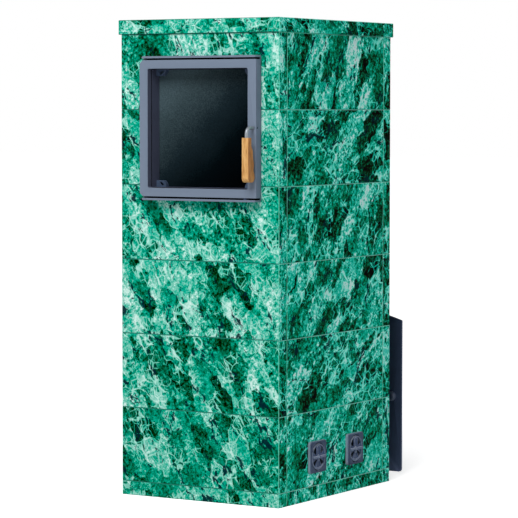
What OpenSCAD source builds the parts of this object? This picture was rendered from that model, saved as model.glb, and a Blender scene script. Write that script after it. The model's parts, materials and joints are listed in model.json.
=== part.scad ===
/* [Stone casing] */
// Width of the casing, across the front
casing_w = 442; // [434:1:470]
// Depth of the casing, front to rear
casing_d = 532; // [522:1:570]
// Height of the plinth strips
plinth_h = 34; // [30:1:42]
// Height of one course of slabs
course_h = 178.6; // [177:0.2:182]
// Thickness of the wall slabs
slab_t = 36; // [32:1:38]
// Thickness of the cap slab
cap_t = 34.4; // [28:0.2:44]
// How far the cap slab stands proud of the casing on each side
cap_over = 5; // [2:1:12]
// Bevel along the edges of every slab
edge_bevel = 1.2; // [0.6:0.2:2.4]

/* [Steam door] */
// Distance from the casing's left edge to the door leaf
leaf_left = 70.5; // [68:0.5:78]
// Distance from the casing's right edge to the door leaf
leaf_right = 46.5; // [44:0.5:56]
// Height of the door leaf
leaf_h = 322; // [312:1:330]
// Depth of the leaf frame
leaf_t = 20; // [19:0.5:23]
// Distance from the cap slab down to the top of the leaf
leaf_drop = 62; // [56:1:70]
// Width of the leaf frame beside the window
stile_w = 23; // [22:0.5:25]
// Width of the leaf frame above and below the window
rail_w = 20.4; // [18:0.2:24]
// Depth of the window reveal, from the leaf's face to its glass
reveal_d = 47; // [42:1:49]
// Thickness of the door glass
glass_t = 4; // [3:0.5:5]
// Width of the slot between the leaf and the lips of its portal
lip_slot = 4.2; // [3:0.1:5.5]
// Thickness of the portal lips
lip_t = 5; // [4:0.5:7]
// Diameter of the bent handle rod
rod_d = 8; // [7:0.5:9]
// Distance from the casing to the upright run of the handle rod
rod_out = 53.6; // [50:0.2:60]
// Height of the wooden grip
grip_h = 103; // [90:1:115]
// Width of the wooden grip
grip_w = 18; // [15:0.5:22]

/* [Vents] */
// Side of the square vent plate
vent_size = 76; // [74:1:84]
// Thickness of the vent plate
vent_t = 8; // [7:0.5:10]
// Height of the vents above the floor
vent_z = 103; // [90:1:120]
// Distance from the middle of the casing to the front vent
vent_front_y = 96; // [85:1:110]
// Distance from the middle of the casing to the rear vent
vent_rear_y = 83; // [75:1:110]
// Diameter of the turning wheel of a vent
wheel_d = 62; // [58:1:63]
// Half the angle of one air opening in the wheel
port_half = 17; // [12:1:18]

/* [Firebox] */
// Width of the firebox
firebox_w = 300; // [280:1:310]
// Length of the firebox, front to rear
firebox_l = 400; // [380:1:406]
// Depth of the stone chamber's floor below the door's opening
chamber_drop = 39; // [30:1:46]
// Height of the flame chamber over the baffle plate
flame_h = 105; // [95:1:115]
// Height of the legs under the firebox
leg_h = 92; // [80:1:96]
// Thickness of the firebox plate
fire_wall = 5; // [4:0.5:8]
// Width of the fuel tunnel
tunnel_w = 250; // [240:1:260]
// Distance from the casing to the rear portal plate
tunnel_out = 110; // [90:1:200]
// Width of the rear portal plate
plate_w = 390; // [380:1:410]
// Thickness of the rear portal plate
plate_t = 6; // [5:0.5:8]
// Diameter of the flue pipe that the collar takes
flue_d = 115; // [110:1:120]

/* [Hidden] */
$fn = 64;

courses = 6;
touch = 0.3;          // gap between faces of different bodies
run = 0.05;           // radial clearance of a turning fit
mortar = 0.2;         // open joint between slabs of one set
through = 1;          // how far a cutter passes its face

stone = "#0f7f63";
paint = "#6f7c8e";
dark_paint = "#2a323d";
cast = "#4b566a";
steel = "#c4c8ce";
timber = "#c98f4e";
rope = "#cfc8b8";

// Casing
side_x = casing_w / 2;
front_y = -casing_d / 2;
rear_y = casing_d / 2;
in_x = side_x - slab_t;
in_y = rear_y - slab_t;
cap_z = plinth_h + courses * course_h;
casing_top = cap_z + cap_t;
base_t = 3;
post_w = 20;
post_t = 3;

// Steam door and its portal
sheet = 3;
collar_t = 6;
leaf_gap = 0.4;
collar_y = front_y - collar_t;
leaf_back = collar_y - leaf_gap;
leaf_face = leaf_back - leaf_t;
leaf_l = leaf_left - side_x;
leaf_r = side_x - leaf_right;
leaf_w = leaf_r - leaf_l;
leaf_x = (leaf_l + leaf_r) / 2;
leaf_top = cap_z - leaf_drop;
leaf_z = leaf_top - leaf_h / 2;
leaf_b = leaf_top - leaf_h;
corner_cut = 8;
win_w = leaf_w - 2 * stile_w;
win_h = leaf_h - 2 * rail_w;
win_r = 4;
step_d = 16;                              // depth of the leaf's own reveal
hinge_x = leaf_l + 9.5;
hinge_y = collar_y - 12;
knuckle_r = 4.2;
knuckle_h = 18;
pin_r = 2.2;
swing_relief = 6;                         // depth left behind the hinge axis at the leaf's hinge edge
collar_l = leaf_l + 6;
collar_r = leaf_r - 2;
lip_b = leaf_b - lip_slot - lip_t;
lip_top = leaf_top + lip_slot + lip_t;
collar_round = 4;
pad_in = 34.5;                            // from the leaf's free edge to the rest pad
pad_w = 6.5;
duct_t = 3;
duct_l = leaf_x - win_w / 2 - 3.5;
duct_r = leaf_x + win_w / 2 + 5.5;        // wider on the latch side, where the carrier swings out
duct_w = duct_r - duct_l;
duct_x = (duct_l + duct_r) / 2;
duct_h = win_h + 6;
carrier_t = 1.5;
carrier_flange = 3.5;
carrier_lip = 8;
carrier_lip_t = 2;
gasket_t = 1.2;
glass_face = leaf_face + reveal_d;
gasket_y = glass_face + glass_t;
carrier_back = gasket_y + gasket_t + carrier_lip_t;
glass_play = 0.4;
seal_w = 8;
seal_t = 7;
stop_w = 12;
stop_y = carrier_back + touch + seal_t;
stone_cut = 6;                            // room for the hot duct in the slabs
clip_w = 28;
clip_h = 15;
clip_t = 1.5;
clip_d = 12;                              // how far a clip stands before the glass
clip_screw_r = 2;

// Lever handle
rod_r = rod_d / 2;
rod_y = front_y - rod_out;
bend_r = 14;
lever_x = leaf_r - 8.8;
lever_z = leaf_z + 1.9;
bush_w = 12;
bush_back = leaf_face + 9.4;
finger_t = 4;
finger_w = 6;
finger_l = 12.5;
finger_back = bush_back + 1 + finger_t;
eye_r = 5.5;
spigot_r = 3;
screw_r = 2.5;
screw_y = leaf_face + 7;
keeper_l = leaf_r - stile_w + sheet + 1.9;
keeper_gap = 0.4;
keeper_t = 3.5;
keeper_w = 4.6;
keeper_lip_h = 7.5;
keeper_stem_h = 3.5;
grip_top = lever_z - 22.5;
grip_face = rod_y - 7;
grip_neck = 13.8;                         // depth of the grip at its top
grip_belly = 27.4;                        // depth of the grip at its lowest swell
grip_end_r = 12;
grip_socket = 40;

// Vents
vent_recess_r = wheel_d / 2 + 2.5;
vent_floor = 3;
vent_corner = 7;
vent_step = 1.4;                          // step of the plate's edge, in and down
spigot_out = 31;
spigot_in = 28.5;
spigot_l = 30;
vent_hole_r = 32;
wheel_t = 3;
rim_w = 3;
port_in = 10.5;
port_out = wheel_d / 2 - rim_w - 0.5;
rivet_r = 2;
rivet_head_r = 3.6;
hub_r = 5.2;
arch_w = 19;                              // width of the upper spoke
spoke_half = 38;                          // half the angle of the lower spoke
wedge_half = 29;                          // half the angle of the rib on it
bar_l = 54;
bar_w = 4.5;
bar_h = 5.5;

// Firebox, tunnel and rear portal
fire_x = firebox_w / 2;
fire_y = firebox_l / 2;
fire_z = base_t + leg_h;
firebox_top = leaf_z - duct_h / 2 - chamber_drop;
leg_w = 30;
ash_h = 95;                               // from the firebox floor to the underside of the grate floor
grate_z = fire_z + ash_h;
grate_w = 200;
grate_l = 300;
grate_t = 18;
grate_slots = 12;
slot_w = 8;
baffle_z = firebox_top - flame_h;
baffle_t = 8;
baffle_front = -60;
ledge_w = 12;
smoke_w = 200;
smoke_l = 140;
smoke_front = fire_y - smoke_l - 11;
smoke_wall = 4;
smoke_gap = 28;                           // from the channel's top to the cap slab
smoke_top = cap_z - smoke_gap;
smoke_hole_w = 180;
flue_x = 0;
flue_y = smoke_front + smoke_l / 2;
flue_gap = 0.5;
collar_wall = 3;
flue_top = casing_top + 6;
flue_stop_h = 4;
flue_stop_w = 4;
cap_hole_r = flue_d / 2 + 17.5;
tunnel_wall = 4;
tunnel_h = 269;
tunnel_top = fire_z + 1 + tunnel_h;
tunnel_play = 6;
plate_y = rear_y + tunnel_out;
plate_back = plate_y + plate_t;
plate_b = 8;
plate_rise = 418;
plate_arch_r = 610;
plate_round = 8;
fuel_w = 210;
fuel_b = grate_z + fire_wall + 5;
fuel_h = 155;
bolt_in = 28;
bolt_z = 200;
bolt_head_r = 12.3;
bolt_rim = 4;                             // straight height of a bolt head under its dome
bolt_dome = 8;
bolt_r = 5;
nut_r = 9;
nut_h = 6;
chamber_wall = 4;
chamber_w = duct_w + 18;
chamber_front = 25 - in_y;
chamber_gap = 42;                         // from the chamber's top to the cap slab
chamber_top = cap_z - chamber_gap;

// Ash drawer
drawer_w = 228;
drawer_t = 2;
drawer_h = 76;
drawer_front = -110;
drawer_z = fire_z + fire_wall + touch;
drawer_face_w = drawer_w + 16;
drawer_face_t = 4;
knob_r = 13;

// Fire door
fdoor_w = 240;
fdoor_b = fuel_b - 10;
fdoor_h = fuel_h + 21;
fdoor_t = 10;
fdoor_rim = 4;
fwin_w = 130;
fwin_h = 90;
fwin_rim = 8;                             // width of the raised rim round the window
fwin_land = 6;                            // seat of the glass beside the window
fglass_t = 4;
fhinge_x = -fdoor_w / 2 - 10;
fhinge_y = plate_back + 9;
fknuckle_r = 6;
fpin_r = 3;
fknuckle_h = 14;
fknuckle_in = 22;                         // from the door's edge to the middle of a knuckle
flever_x = fuel_w / 2 - 13;
flever_z = fuel_b + fuel_h / 2;
flever_r = 5;
flever_arm = 66;
flever_finger = 20;
flever_knob_l = 38;
flever_knob_r = 12;

// Shapes shared by the parts

module bevel_rect(w, h) {
    x = w / 2;
    y = h / 2;
    b = edge_bevel;
    polygon([
        [b - x, -y], [x - b, -y], [x, b - y], [x, y - b],
        [x - b, y], [b - x, y], [-x, y - b], [-x, b - y]
    ]);
}

// A stone slab between two corners, bevelled along all its edges
module slab(lo, hi) {
    s = hi - lo;
    translate((lo + hi) / 2)
        intersection() {
            linear_extrude(height = s.z, center = true)
                bevel_rect(s.x, s.y);
            rotate([90, 0, 0])
                linear_extrude(height = s.y, center = true)
                    bevel_rect(s.x, s.z);
            rotate([0, 90, 0])
                linear_extrude(height = s.x, center = true)
                    bevel_rect(s.z, s.y);
        }
}

module block(lo, hi)
    translate(lo)
        cube(hi - lo);

module round_rect(w, h, r) {
    square([w - 2 * r, h], center = true);
    square([w, h - 2 * r], center = true);
    for (x = [-1, 1], y = [-1, 1])
        translate([x * (w / 2 - r), y * (h / 2 - r)])
            circle(r);
}

// Stands an outline drawn in X and Z upright, from its back face towards the front
module upright(back, depth)
    translate([0, back, 0])
        rotate([90, 0, 0])
            linear_extrude(height = depth)
                children();

// Lays an outline drawn in Y and Z on a plane of constant X, from there to the right
module sideways(x, depth)
    translate([x, 0, 0])
        rotate([90, 0, 90])
            linear_extrude(height = depth)
                children();

// A sector of a ring, its middle at an angle from the first axis
module sector(middle, half, inner, outer) {
    reach = outer / cos(half) * 1.2;
    intersection() {
        difference() {
            circle(outer);
            circle(inner);
        }
        polygon([
            [0, 0],
            reach * [cos(middle - half), sin(middle - half)],
            reach * [cos(middle + half), sin(middle + half)]
        ]);
    }
}

function course_z(n) = plinth_h + (n - 1) * course_h;

// Stone casing

module front_slab(n)
    color(stone)
        difference() {
            slab([-side_x, front_y, course_z(n)], [side_x, front_y + slab_t, course_z(n + 1)]);
            block(
                [duct_l - duct_t - stone_cut, front_y - through, leaf_z - duct_h / 2 - duct_t - stone_cut],
                [duct_r + duct_t + stone_cut, front_y + slab_t + through,
                    leaf_z + duct_h / 2 + duct_t + stone_cut]
            );
        }

module rear_slab(n)
    color(stone)
        difference() {
            slab([-side_x, rear_y - slab_t, course_z(n)], [side_x, rear_y, course_z(n + 1)]);
            block(
                [-tunnel_w / 2 - tunnel_play, rear_y - slab_t - through, fire_z + 1 - tunnel_play],
                [tunnel_w / 2 + tunnel_play, rear_y + through, tunnel_top + tunnel_play]
            );
        }

module right_slab(n)
    color(stone)
        difference() {
            slab([in_x, -in_y, course_z(n)], [side_x, in_y, course_z(n + 1)]);
            for (y = [-vent_front_y, vent_rear_y])
                translate([in_x - through, y, vent_z])
                    rotate([0, 90, 0])
                        cylinder(r = vent_hole_r, h = slab_t + 2 * through);
        }

module left_slabs()
    color(stone)
        for (n = [1:courses])
            slab([-side_x, -in_y, course_z(n)], [-in_x, in_y, course_z(n + 1) - mortar]);

module cap_slab()
    color(stone)
        difference() {
            slab(
                [-side_x - cap_over, front_y - cap_over, cap_z],
                [side_x + cap_over, rear_y + cap_over, casing_top]
            );
            translate([flue_x, flue_y, cap_z - through])
                cylinder(r = cap_hole_r, h = cap_t + 2 * through);
        }

module plinth_strips()
    color(stone) {
        slab([-side_x, front_y, 0], [side_x, front_y + slab_t, plinth_h]);
        slab([-side_x, rear_y - slab_t, 0], [side_x, rear_y, plinth_h]);
        slab([-side_x, mortar - in_y, 0], [-in_x, in_y - mortar, plinth_h]);
        slab([in_x, mortar - in_y, 0], [side_x, in_y - mortar, plinth_h]);
    }

module base_plate()
    color(dark_paint)
        block([-in_x, -in_y, 0], [in_x, in_y, base_t]);

module corner_posts()
    color(dark_paint)
        for (x = [-1, 1], y = [-1, 1])
            translate([0, 0, base_t])
                linear_extrude(height = cap_z - base_t - post_t)
                    polygon([
                        [x * in_x, y * in_y], [x * (in_x - post_w), y * in_y],
                        [x * (in_x - post_w), y * (in_y - post_t)],
                        [x * (in_x - post_t), y * (in_y - post_t)],
                        [x * (in_x - post_t), y * (in_y - post_w)], [x * in_x, y * (in_y - post_w)]
                    ]);

module top_ring()
    color(dark_paint)
        translate([0, 0, cap_z - post_t])
            linear_extrude(height = post_t)
                difference() {
                    square([2 * in_x, 2 * in_y], center = true);
                    square([2 * (in_x - post_w), 2 * (in_y - post_w)], center = true);
                }

// Firebox and what it stands on and holds

module firebox()
    color(dark_paint)
        difference() {
            block([-fire_x, -fire_y, fire_z], [fire_x, fire_y, firebox_top]);
            block(
                [fire_wall - fire_x, fire_wall - fire_y, fire_z + fire_wall],
                [fire_x - fire_wall, fire_y - fire_wall, grate_z]
            );
            block(
                [fire_wall - fire_x, fire_wall - fire_y, grate_z + fire_wall],
                [fire_x - fire_wall, fire_y - fire_wall, baffle_z - ledge_w]
            );
            block(
                [fire_wall + ledge_w - fire_x, fire_wall - fire_y, baffle_z - ledge_w - through],
                [fire_x - fire_wall - ledge_w, fire_y - fire_wall, baffle_z + through]
            );
            block(
                [fire_wall - fire_x, fire_wall - fire_y, baffle_z - ledge_w - through],
                [fire_x - fire_wall, baffle_front, baffle_z + through]
            );
            block(
                [fire_wall - fire_x, fire_wall - fire_y, baffle_z],
                [fire_x - fire_wall, fire_y - fire_wall, firebox_top - fire_wall]
            );
            block(
                [-grate_w / 2 + 5, -grate_l / 2 + 5, grate_z - through],
                [grate_w / 2 - 5, grate_l / 2 - 5, grate_z + fire_wall + through]
            );
            block(
                [tunnel_wall - tunnel_w / 2, fire_y - fire_wall - through, fire_z + fire_wall],
                [tunnel_w / 2 - tunnel_wall, fire_y + through, tunnel_top - tunnel_wall]
            );
            block(
                [-smoke_hole_w / 2, smoke_front + 11, firebox_top - fire_wall - through],
                [smoke_hole_w / 2, smoke_front + smoke_l - 11, firebox_top + through]
            );
        }

module stove_legs()
    color(dark_paint)
        for (x = [-1, 1], y = [-1, 1])
            translate([x * (fire_x - leg_w), y * (fire_y - leg_w), base_t])
                linear_extrude(height = leg_h)
                    difference() {
                        square(leg_w, center = true);
                        square(leg_w - 2 * post_t, center = true);
                    }

module fire_grate()
    color("#3a3a3c")
        difference() {
            block(
                [-grate_w / 2, -grate_l / 2, grate_z + fire_wall],
                [grate_w / 2, grate_l / 2, grate_z + fire_wall + grate_t]
            );
            for (i = [0:grate_slots - 1])
                block(
                    [(i - (grate_slots - 1) / 2) * 2 * slot_w - slot_w / 2, 15 - grate_l / 2,
                        grate_z + fire_wall - through],
                    [(i - (grate_slots - 1) / 2) * 2 * slot_w + slot_w / 2, grate_l / 2 - 15,
                        grate_z + fire_wall + grate_t + through]
                );
        }

module baffle_plate()
    color(dark_paint)
        block(
            [fire_wall + 1 - fire_x, baffle_front, baffle_z],
            [fire_x - fire_wall - 1, fire_y - fire_wall - 1, baffle_z + baffle_t]
        );

// Two passages, the upper one for fuel and the lower one for the ash drawer
module fuel_tunnel()
    color(dark_paint)
        difference() {
            block([-tunnel_w / 2, fire_y, fire_z + 1], [tunnel_w / 2, plate_y, tunnel_top]);
            block(
                [tunnel_wall - tunnel_w / 2, fire_y - through, fire_z + fire_wall],
                [tunnel_w / 2 - tunnel_wall, plate_y + through, grate_z]
            );
            block(
                [tunnel_wall - tunnel_w / 2, fire_y - through, grate_z + fire_wall],
                [tunnel_w / 2 - tunnel_wall, plate_y + through, tunnel_top - tunnel_wall]
            );
        }

module stone_chamber()
    color(dark_paint)
        difference() {
            block(
                [duct_x - chamber_w / 2, chamber_front, firebox_top],
                [duct_x + chamber_w / 2, smoke_front, chamber_top]
            );
            block(
                [
                    duct_x - chamber_w / 2 + chamber_wall, chamber_front + chamber_wall,
                    firebox_top + fire_wall
                ],
                [
                    duct_x + chamber_w / 2 - chamber_wall, smoke_front - chamber_wall,
                    chamber_top - chamber_wall
                ]
            );
            block(
                [duct_l, chamber_front - through, leaf_z - duct_h / 2],
                [duct_r, chamber_front + chamber_wall + through, leaf_z + duct_h / 2]
            );
        }

module smoke_channel()
    color(dark_paint)
        difference() {
            block([-smoke_w / 2, smoke_front, firebox_top], [smoke_w / 2, smoke_front + smoke_l, smoke_top]);
            block(
                [smoke_wall - smoke_w / 2, smoke_front + smoke_wall, firebox_top - through],
                [smoke_w / 2 - smoke_wall, smoke_front + smoke_l - smoke_wall, smoke_top - smoke_wall]
            );
            translate([flue_x, flue_y, smoke_top - smoke_wall - through])
                cylinder(r = flue_d / 2 - flue_stop_w, h = smoke_wall + 2 * through);
        }

module flue_collar()
    color(cast)
        translate([flue_x, flue_y, smoke_top])
            difference() {
                cylinder(r = flue_d / 2 + flue_gap + collar_wall, h = flue_top - smoke_top);
                translate([0, 0, flue_stop_h])
                    cylinder(r = flue_d / 2 + flue_gap, h = flue_top - smoke_top);
                translate([0, 0, -through])
                    cylinder(r = flue_d / 2 - flue_stop_w, h = flue_stop_h + 2 * through);
            }

// Rear portal

module plate_outline()
    intersection() {
        translate([0, plate_b + plate_rise])
            round_rect(plate_w, 2 * plate_rise, plate_round);
        translate([0, plate_b + plate_rise - plate_arch_r])
            circle(plate_arch_r, $fn = 256);
    }

module portal_plate()
    color(dark_paint)
        difference() {
            union() {
                upright(plate_back, plate_t)
                    plate_outline();
                for (z = [fdoor_b + fknuckle_in, fdoor_b + fdoor_h - fknuckle_in])
                    translate([0, 0, z])
                        hinge_lug();
            }
            block(
                [-fuel_w / 2, plate_y - through, fuel_b],
                [fuel_w / 2, plate_back + through, fuel_b + fuel_h]
            );
            block(
                [-drawer_w / 2 - 2, plate_y - through, drawer_z - 2],
                [drawer_w / 2 + 2, plate_back + through, drawer_z + drawer_h + 4]
            );
            for (x = [-1, 1])
                translate([x * (plate_w / 2 - bolt_in), plate_y - through, bolt_z])
                    rotate([-90, 0, 0])
                        cylinder(r = bolt_r + 0.25, h = plate_t + 2 * through);
        }

// A lug under each knuckle of the fire door, standing on the plate
module hinge_lug()
    difference() {
        translate([0, 0, -fknuckle_h / 2 - touch - 8])
            union() {
                translate([fhinge_x, fhinge_y, 0])
                    cylinder(r = fknuckle_r, h = 8);
                block([fhinge_x - fknuckle_r, plate_back - touch, 0], [fhinge_x + fknuckle_r, fhinge_y, 8]);
            }
        translate([fhinge_x, fhinge_y, -fknuckle_h / 2 - 8 - through])
            cylinder(r = fpin_r + 0.02, h = 8 + through);
    }

module portal_bolts()
    color(cast)
        for (x = [-1, 1])
            translate([x * (plate_w / 2 - bolt_in), plate_y, bolt_z])
                rotate([90, 0, 0]) {
                    rotate_extrude()
                        polygon(concat(
                            [[0, 0], [bolt_head_r, 0], [bolt_head_r, bolt_rim]],
                            [for (a = [15:15:90]) [bolt_head_r * cos(a), bolt_rim + bolt_dome * sin(a)]]
                        ));
                    translate([0, 0, -plate_t - nut_h - 2])
                        cylinder(r = bolt_r, h = plate_t + nut_h + 2);
                    translate([0, 0, -plate_t - nut_h])
                        cylinder(r = nut_r, h = nut_h, $fn = 6);
                }

module fire_hinge_pins()
    color(steel)
        for (z = [fdoor_b + fknuckle_in, fdoor_b + fdoor_h - fknuckle_in])
            translate([fhinge_x, fhinge_y, z - fknuckle_h / 2 - touch - 8])
                cylinder(r = fpin_r, h = fknuckle_h + 8 + touch + 2);

module fire_door() {
    back = plate_back + touch;
    color(cast)
        difference() {
            union() {
                upright(back + fdoor_t, fdoor_t)
                    translate([0, fdoor_b + fdoor_h / 2])
                        round_rect(fdoor_w, fdoor_h, 6);
                upright(back + fdoor_t + fdoor_rim, fdoor_rim + through)
                    translate([0, fdoor_b + fdoor_h / 2])
                        difference() {
                            round_rect(
                                fwin_w + 2 * (fwin_land + fwin_rim), fwin_h + 2 * (fwin_land + fwin_rim), 6
                            );
                            round_rect(fwin_w + 2 * fwin_land, fwin_h + 2 * fwin_land, 4);
                        }
                for (z = [fdoor_b + fknuckle_in, fdoor_b + fdoor_h - fknuckle_in]) {
                    translate([fhinge_x, fhinge_y, z - fknuckle_h / 2])
                        cylinder(r = fknuckle_r, h = fknuckle_h);
                    block(
                        [fhinge_x, fhinge_y - 4, z - fknuckle_h / 2],
                        [through - fdoor_w / 2, fhinge_y + 1, z + fknuckle_h / 2]
                    );
                }
                translate([flever_x, back, flever_z])
                    rotate([-90, 0, 0])
                        cylinder(r = 11, h = fdoor_t + 3);
            }
            translate([0, back - through, fdoor_b + fdoor_h / 2])
                rotate([-90, 0, 0])
                    linear_extrude(height = fdoor_t + fdoor_rim + 2 * through)
                        round_rect(fwin_w, fwin_h, 4);
            block(
                [-fwin_w / 2 - fwin_land, back - through, fdoor_b + (fdoor_h - fwin_h) / 2 - fwin_land],
                [fwin_w / 2 + fwin_land, back + fglass_t, fdoor_b + (fdoor_h + fwin_h) / 2 + fwin_land]
            );
            for (z = [fdoor_b + fknuckle_in, fdoor_b + fdoor_h - fknuckle_in])
                translate([fhinge_x, fhinge_y, z - fknuckle_h])
                    cylinder(r = fpin_r + run, h = 2 * fknuckle_h);
            translate([flever_x, back - through, flever_z])
                rotate([-90, 0, 0])
                    cylinder(r = flever_r + run, h = fdoor_t + 5);
        }
}

module fire_door_glass()
    color("#20262c", 0.6)
        block(
            [
                0.5 - fwin_w / 2 - fwin_land, plate_back + touch,
                fdoor_b + (fdoor_h - fwin_h) / 2 - fwin_land + 0.5
            ],
            [
                fwin_w / 2 + fwin_land - 0.5, plate_back + touch + fglass_t,
                fdoor_b + (fdoor_h + fwin_h) / 2 + fwin_land - 0.5
            ]
        );

// Shaft through the fire door, a finger inside it, and an arm with a turned knob outside
module fire_lever() {
    inner = plate_y - touch - 6;
    outer = plate_back + touch + fdoor_t + 3 + touch;
    color(steel)
        union() {
            translate([flever_x, inner, flever_z])
                rotate([-90, 0, 0])
                    cylinder(r = flever_r, h = outer - inner + 7);
            block(
                [flever_x - 4, inner, flever_z - flever_finger],
                [flever_x + 4, inner + 6, flever_z]
            );
            translate([flever_x, outer, flever_z])
                rotate([-90, 0, 0])
                    cylinder(r = 10, h = 7);
            block(
                [flever_x - 5, outer, flever_z - flever_arm],
                [flever_x + 5, outer + 6, flever_z]
            );
            translate([flever_x, outer, flever_z - flever_arm])
                rotate([-90, 0, 0])
                    rotate_extrude()
                        polygon(concat(
                            [[0, 0], [7, 0], [7, 8], [5, 10], [5, 14]],
                            [for (a = [-60:15:90]) [
                                flever_knob_r * cos(a),
                                flever_knob_l - flever_knob_r * (1 - sin(a))
                            ]],
                            [[0, flever_knob_l]]
                        ));
        }
}

module ash_drawer() {
    x = drawer_w / 2;
    face_y = plate_back + touch;
    color(dark_paint)
        union() {
            difference() {
                block([-x, drawer_front, drawer_z], [x, face_y, drawer_z + drawer_h]);
                block(
                    [drawer_t - x, drawer_front + drawer_t, drawer_z + drawer_t],
                    [x - drawer_t, face_y - drawer_t, drawer_z + drawer_h + through]
                );
            }
            block(
                [-drawer_face_w / 2, face_y, drawer_z - 3],
                [drawer_face_w / 2, face_y + drawer_face_t, drawer_z + drawer_h + 7]
            );
            translate([0, face_y + drawer_face_t - through, drawer_z + drawer_h / 2])
                rotate([-90, 0, 0])
                    rotate_extrude()
                        polygon(concat(
                            [[0, 0], [6, 0], [6, 12]],
                            [for (a = [-60:15:90]) [knob_r * cos(a), 23 + knob_r * sin(a)]],
                            [[0, 23 + knob_r]]
                        ));
        }
}

// Portal of the steam door

module duct_shape(grow)
    translate([duct_x, leaf_z])
        square([duct_w + 2 * grow, duct_h + 2 * grow], center = true);

module lip_shape(low)
    translate([collar_l, low])
        square([collar_r - collar_l, lip_t]);

module collar_shape()
    translate([(collar_l + collar_r) / 2, (lip_b + lip_top) / 2])
        round_rect(collar_r - collar_l, lip_top - lip_b, collar_round);

module steam_portal()
    color(paint)
        difference() {
            union() {
                upright(front_y, collar_t)
                    difference() {
                        collar_shape();
                        duct_shape(0);
                    }
                upright(front_y, front_y - leaf_face)
                    intersection() {
                        collar_shape();
                        union() {
                            lip_shape(lip_b);
                            lip_shape(lip_top - lip_t);
                        }
                    }
                upright(chamber_front, chamber_front - collar_y)
                    difference() {
                        duct_shape(duct_t);
                        duct_shape(0);
                    }
                upright(stop_y + duct_t, duct_t)
                    difference() {
                        duct_shape(duct_t);
                        duct_shape(-stop_w);
                    }
                keeper();
            }
            for (z = [lip_b, lip_top - lip_t])
                translate([hinge_x, hinge_y, z - through])
                    cylinder(r = pin_r + 0.02, h = lip_t + 2 * through);
        }

// Hook on the collar, reaching into the hollow stile beside the latch finger
module keeper() {
    lip_back = finger_back - finger_t - keeper_gap;
    lip_low = lever_z + bush_w / 2 + 0.5;
    block(
        [keeper_l, lip_back - keeper_t, lip_low + keeper_lip_h],
        [keeper_l + keeper_w, collar_y + through, lip_low + keeper_lip_h + keeper_stem_h]
    );
    block(
        [keeper_l, lip_back - keeper_t, lip_low],
        [keeper_l + keeper_w, lip_back, lip_low + keeper_lip_h + keeper_stem_h]
    );
}

module door_seal()
    color(rope)
        upright(stop_y, seal_t)
            difference() {
                duct_shape(-0.2);
                duct_shape(-seal_w - 0.2);
            }

module door_hinge_pins()
    color(steel) {
        translate([hinge_x, hinge_y, lip_b])
            cylinder(r = pin_r, h = lip_t + lip_slot + knuckle_h - 1);
        translate([hinge_x, hinge_y, leaf_top - knuckle_h + 1])
            cylinder(r = pin_r, h = knuckle_h - 1 + lip_slot + lip_t);
    }

// Small pad in the lower slot that the free end of the leaf comes to rest on
module door_rest_pad()
    color(cast)
        block(
            [leaf_r - pad_in, leaf_face + 1, leaf_b - lip_slot],
            [leaf_r - pad_in + pad_w, leaf_face + 13, leaf_b - touch]
        );

// Steam door

module leaf_outline(inset) {
    l = leaf_l + inset;
    r = leaf_r - inset;
    b = leaf_b + inset;
    t = leaf_top - inset;
    c = corner_cut - inset * 0.6;
    polygon([[l + c, b], [r, b], [r, t], [l + c, t], [l, t - c], [l, b + c]]);
}

module window_shape(grow)
    translate([leaf_x, leaf_z])
        round_rect(win_w + 2 * grow, win_h + 2 * grow, win_r);

module steam_door_frame()
    color(paint)
        difference() {
            union() {
                difference() {
                    union() {
                        upright(leaf_face + sheet, sheet)
                            leaf_outline(0);
                        upright(leaf_back, leaf_t)
                            difference() {
                                leaf_outline(0);
                                leaf_outline(sheet);
                            }
                    }
                    block(
                        [leaf_l - through, hinge_y + swing_relief, leaf_b - through],
                        [hinge_x, leaf_back + through, leaf_top + through]
                    );
                }
                upright(leaf_face + step_d, step_d)
                    window_shape(sheet);
                for (z = [leaf_b - lip_slot + touch, leaf_top - knuckle_h])
                    translate([hinge_x, hinge_y, z])
                        cylinder(r = knuckle_r, h = knuckle_h + lip_slot - touch);
            }
            upright(leaf_face + step_d + through, step_d + 2 * through)
                window_shape(0);
            for (z = [leaf_b - lip_slot, leaf_top - knuckle_h - through])
                translate([hinge_x, hinge_y, z])
                    cylinder(r = pin_r + run, h = knuckle_h + lip_slot + through);
            translate([lever_x, leaf_face - through, lever_z])
                rotate([-90, 0, 0])
                    cylinder(r = rod_r + run, h = sheet + 2 * through);
            translate([leaf_r - sheet - through, screw_y, lever_z])
                rotate([0, 90, 0])
                    cylinder(r = screw_r + run, h = sheet + 2 * through);
        }

module carrier_shape(grow)
    translate([leaf_x, leaf_z])
        square([win_w + 2 * grow, win_h + 2 * grow], center = true);

// Deep tray behind the leaf that holds the glass away from the face
module glass_carrier()
    color(paint)
        difference() {
            union() {
                upright(leaf_face + step_d + carrier_lip_t, carrier_lip_t)
                    difference() {
                        carrier_shape(carrier_flange);
                        carrier_shape(-carrier_t);
                    }
                upright(carrier_back, carrier_back - leaf_face - step_d)
                    difference() {
                        carrier_shape(0);
                        carrier_shape(-carrier_t);
                    }
                upright(carrier_back, carrier_lip_t)
                    difference() {
                        carrier_shape(0);
                        carrier_shape(-carrier_t - carrier_lip);
                    }
            }
            for (x = [-1, 1], z = [-1, 1])
                clip_screw_at(x, z)
                    cylinder(r = clip_screw_r + 0.02, h = 12, center = true);
        }

module steam_glass()
    color("#20262c", 0.6)
        upright(gasket_y, glass_t)
            carrier_shape(-carrier_t - glass_play);

module glass_gasket()
    color(rope)
        upright(gasket_y + gasket_t, gasket_t)
            difference() {
                carrier_shape(-carrier_t - glass_play);
                carrier_shape(-carrier_t - carrier_lip);
            }

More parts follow.
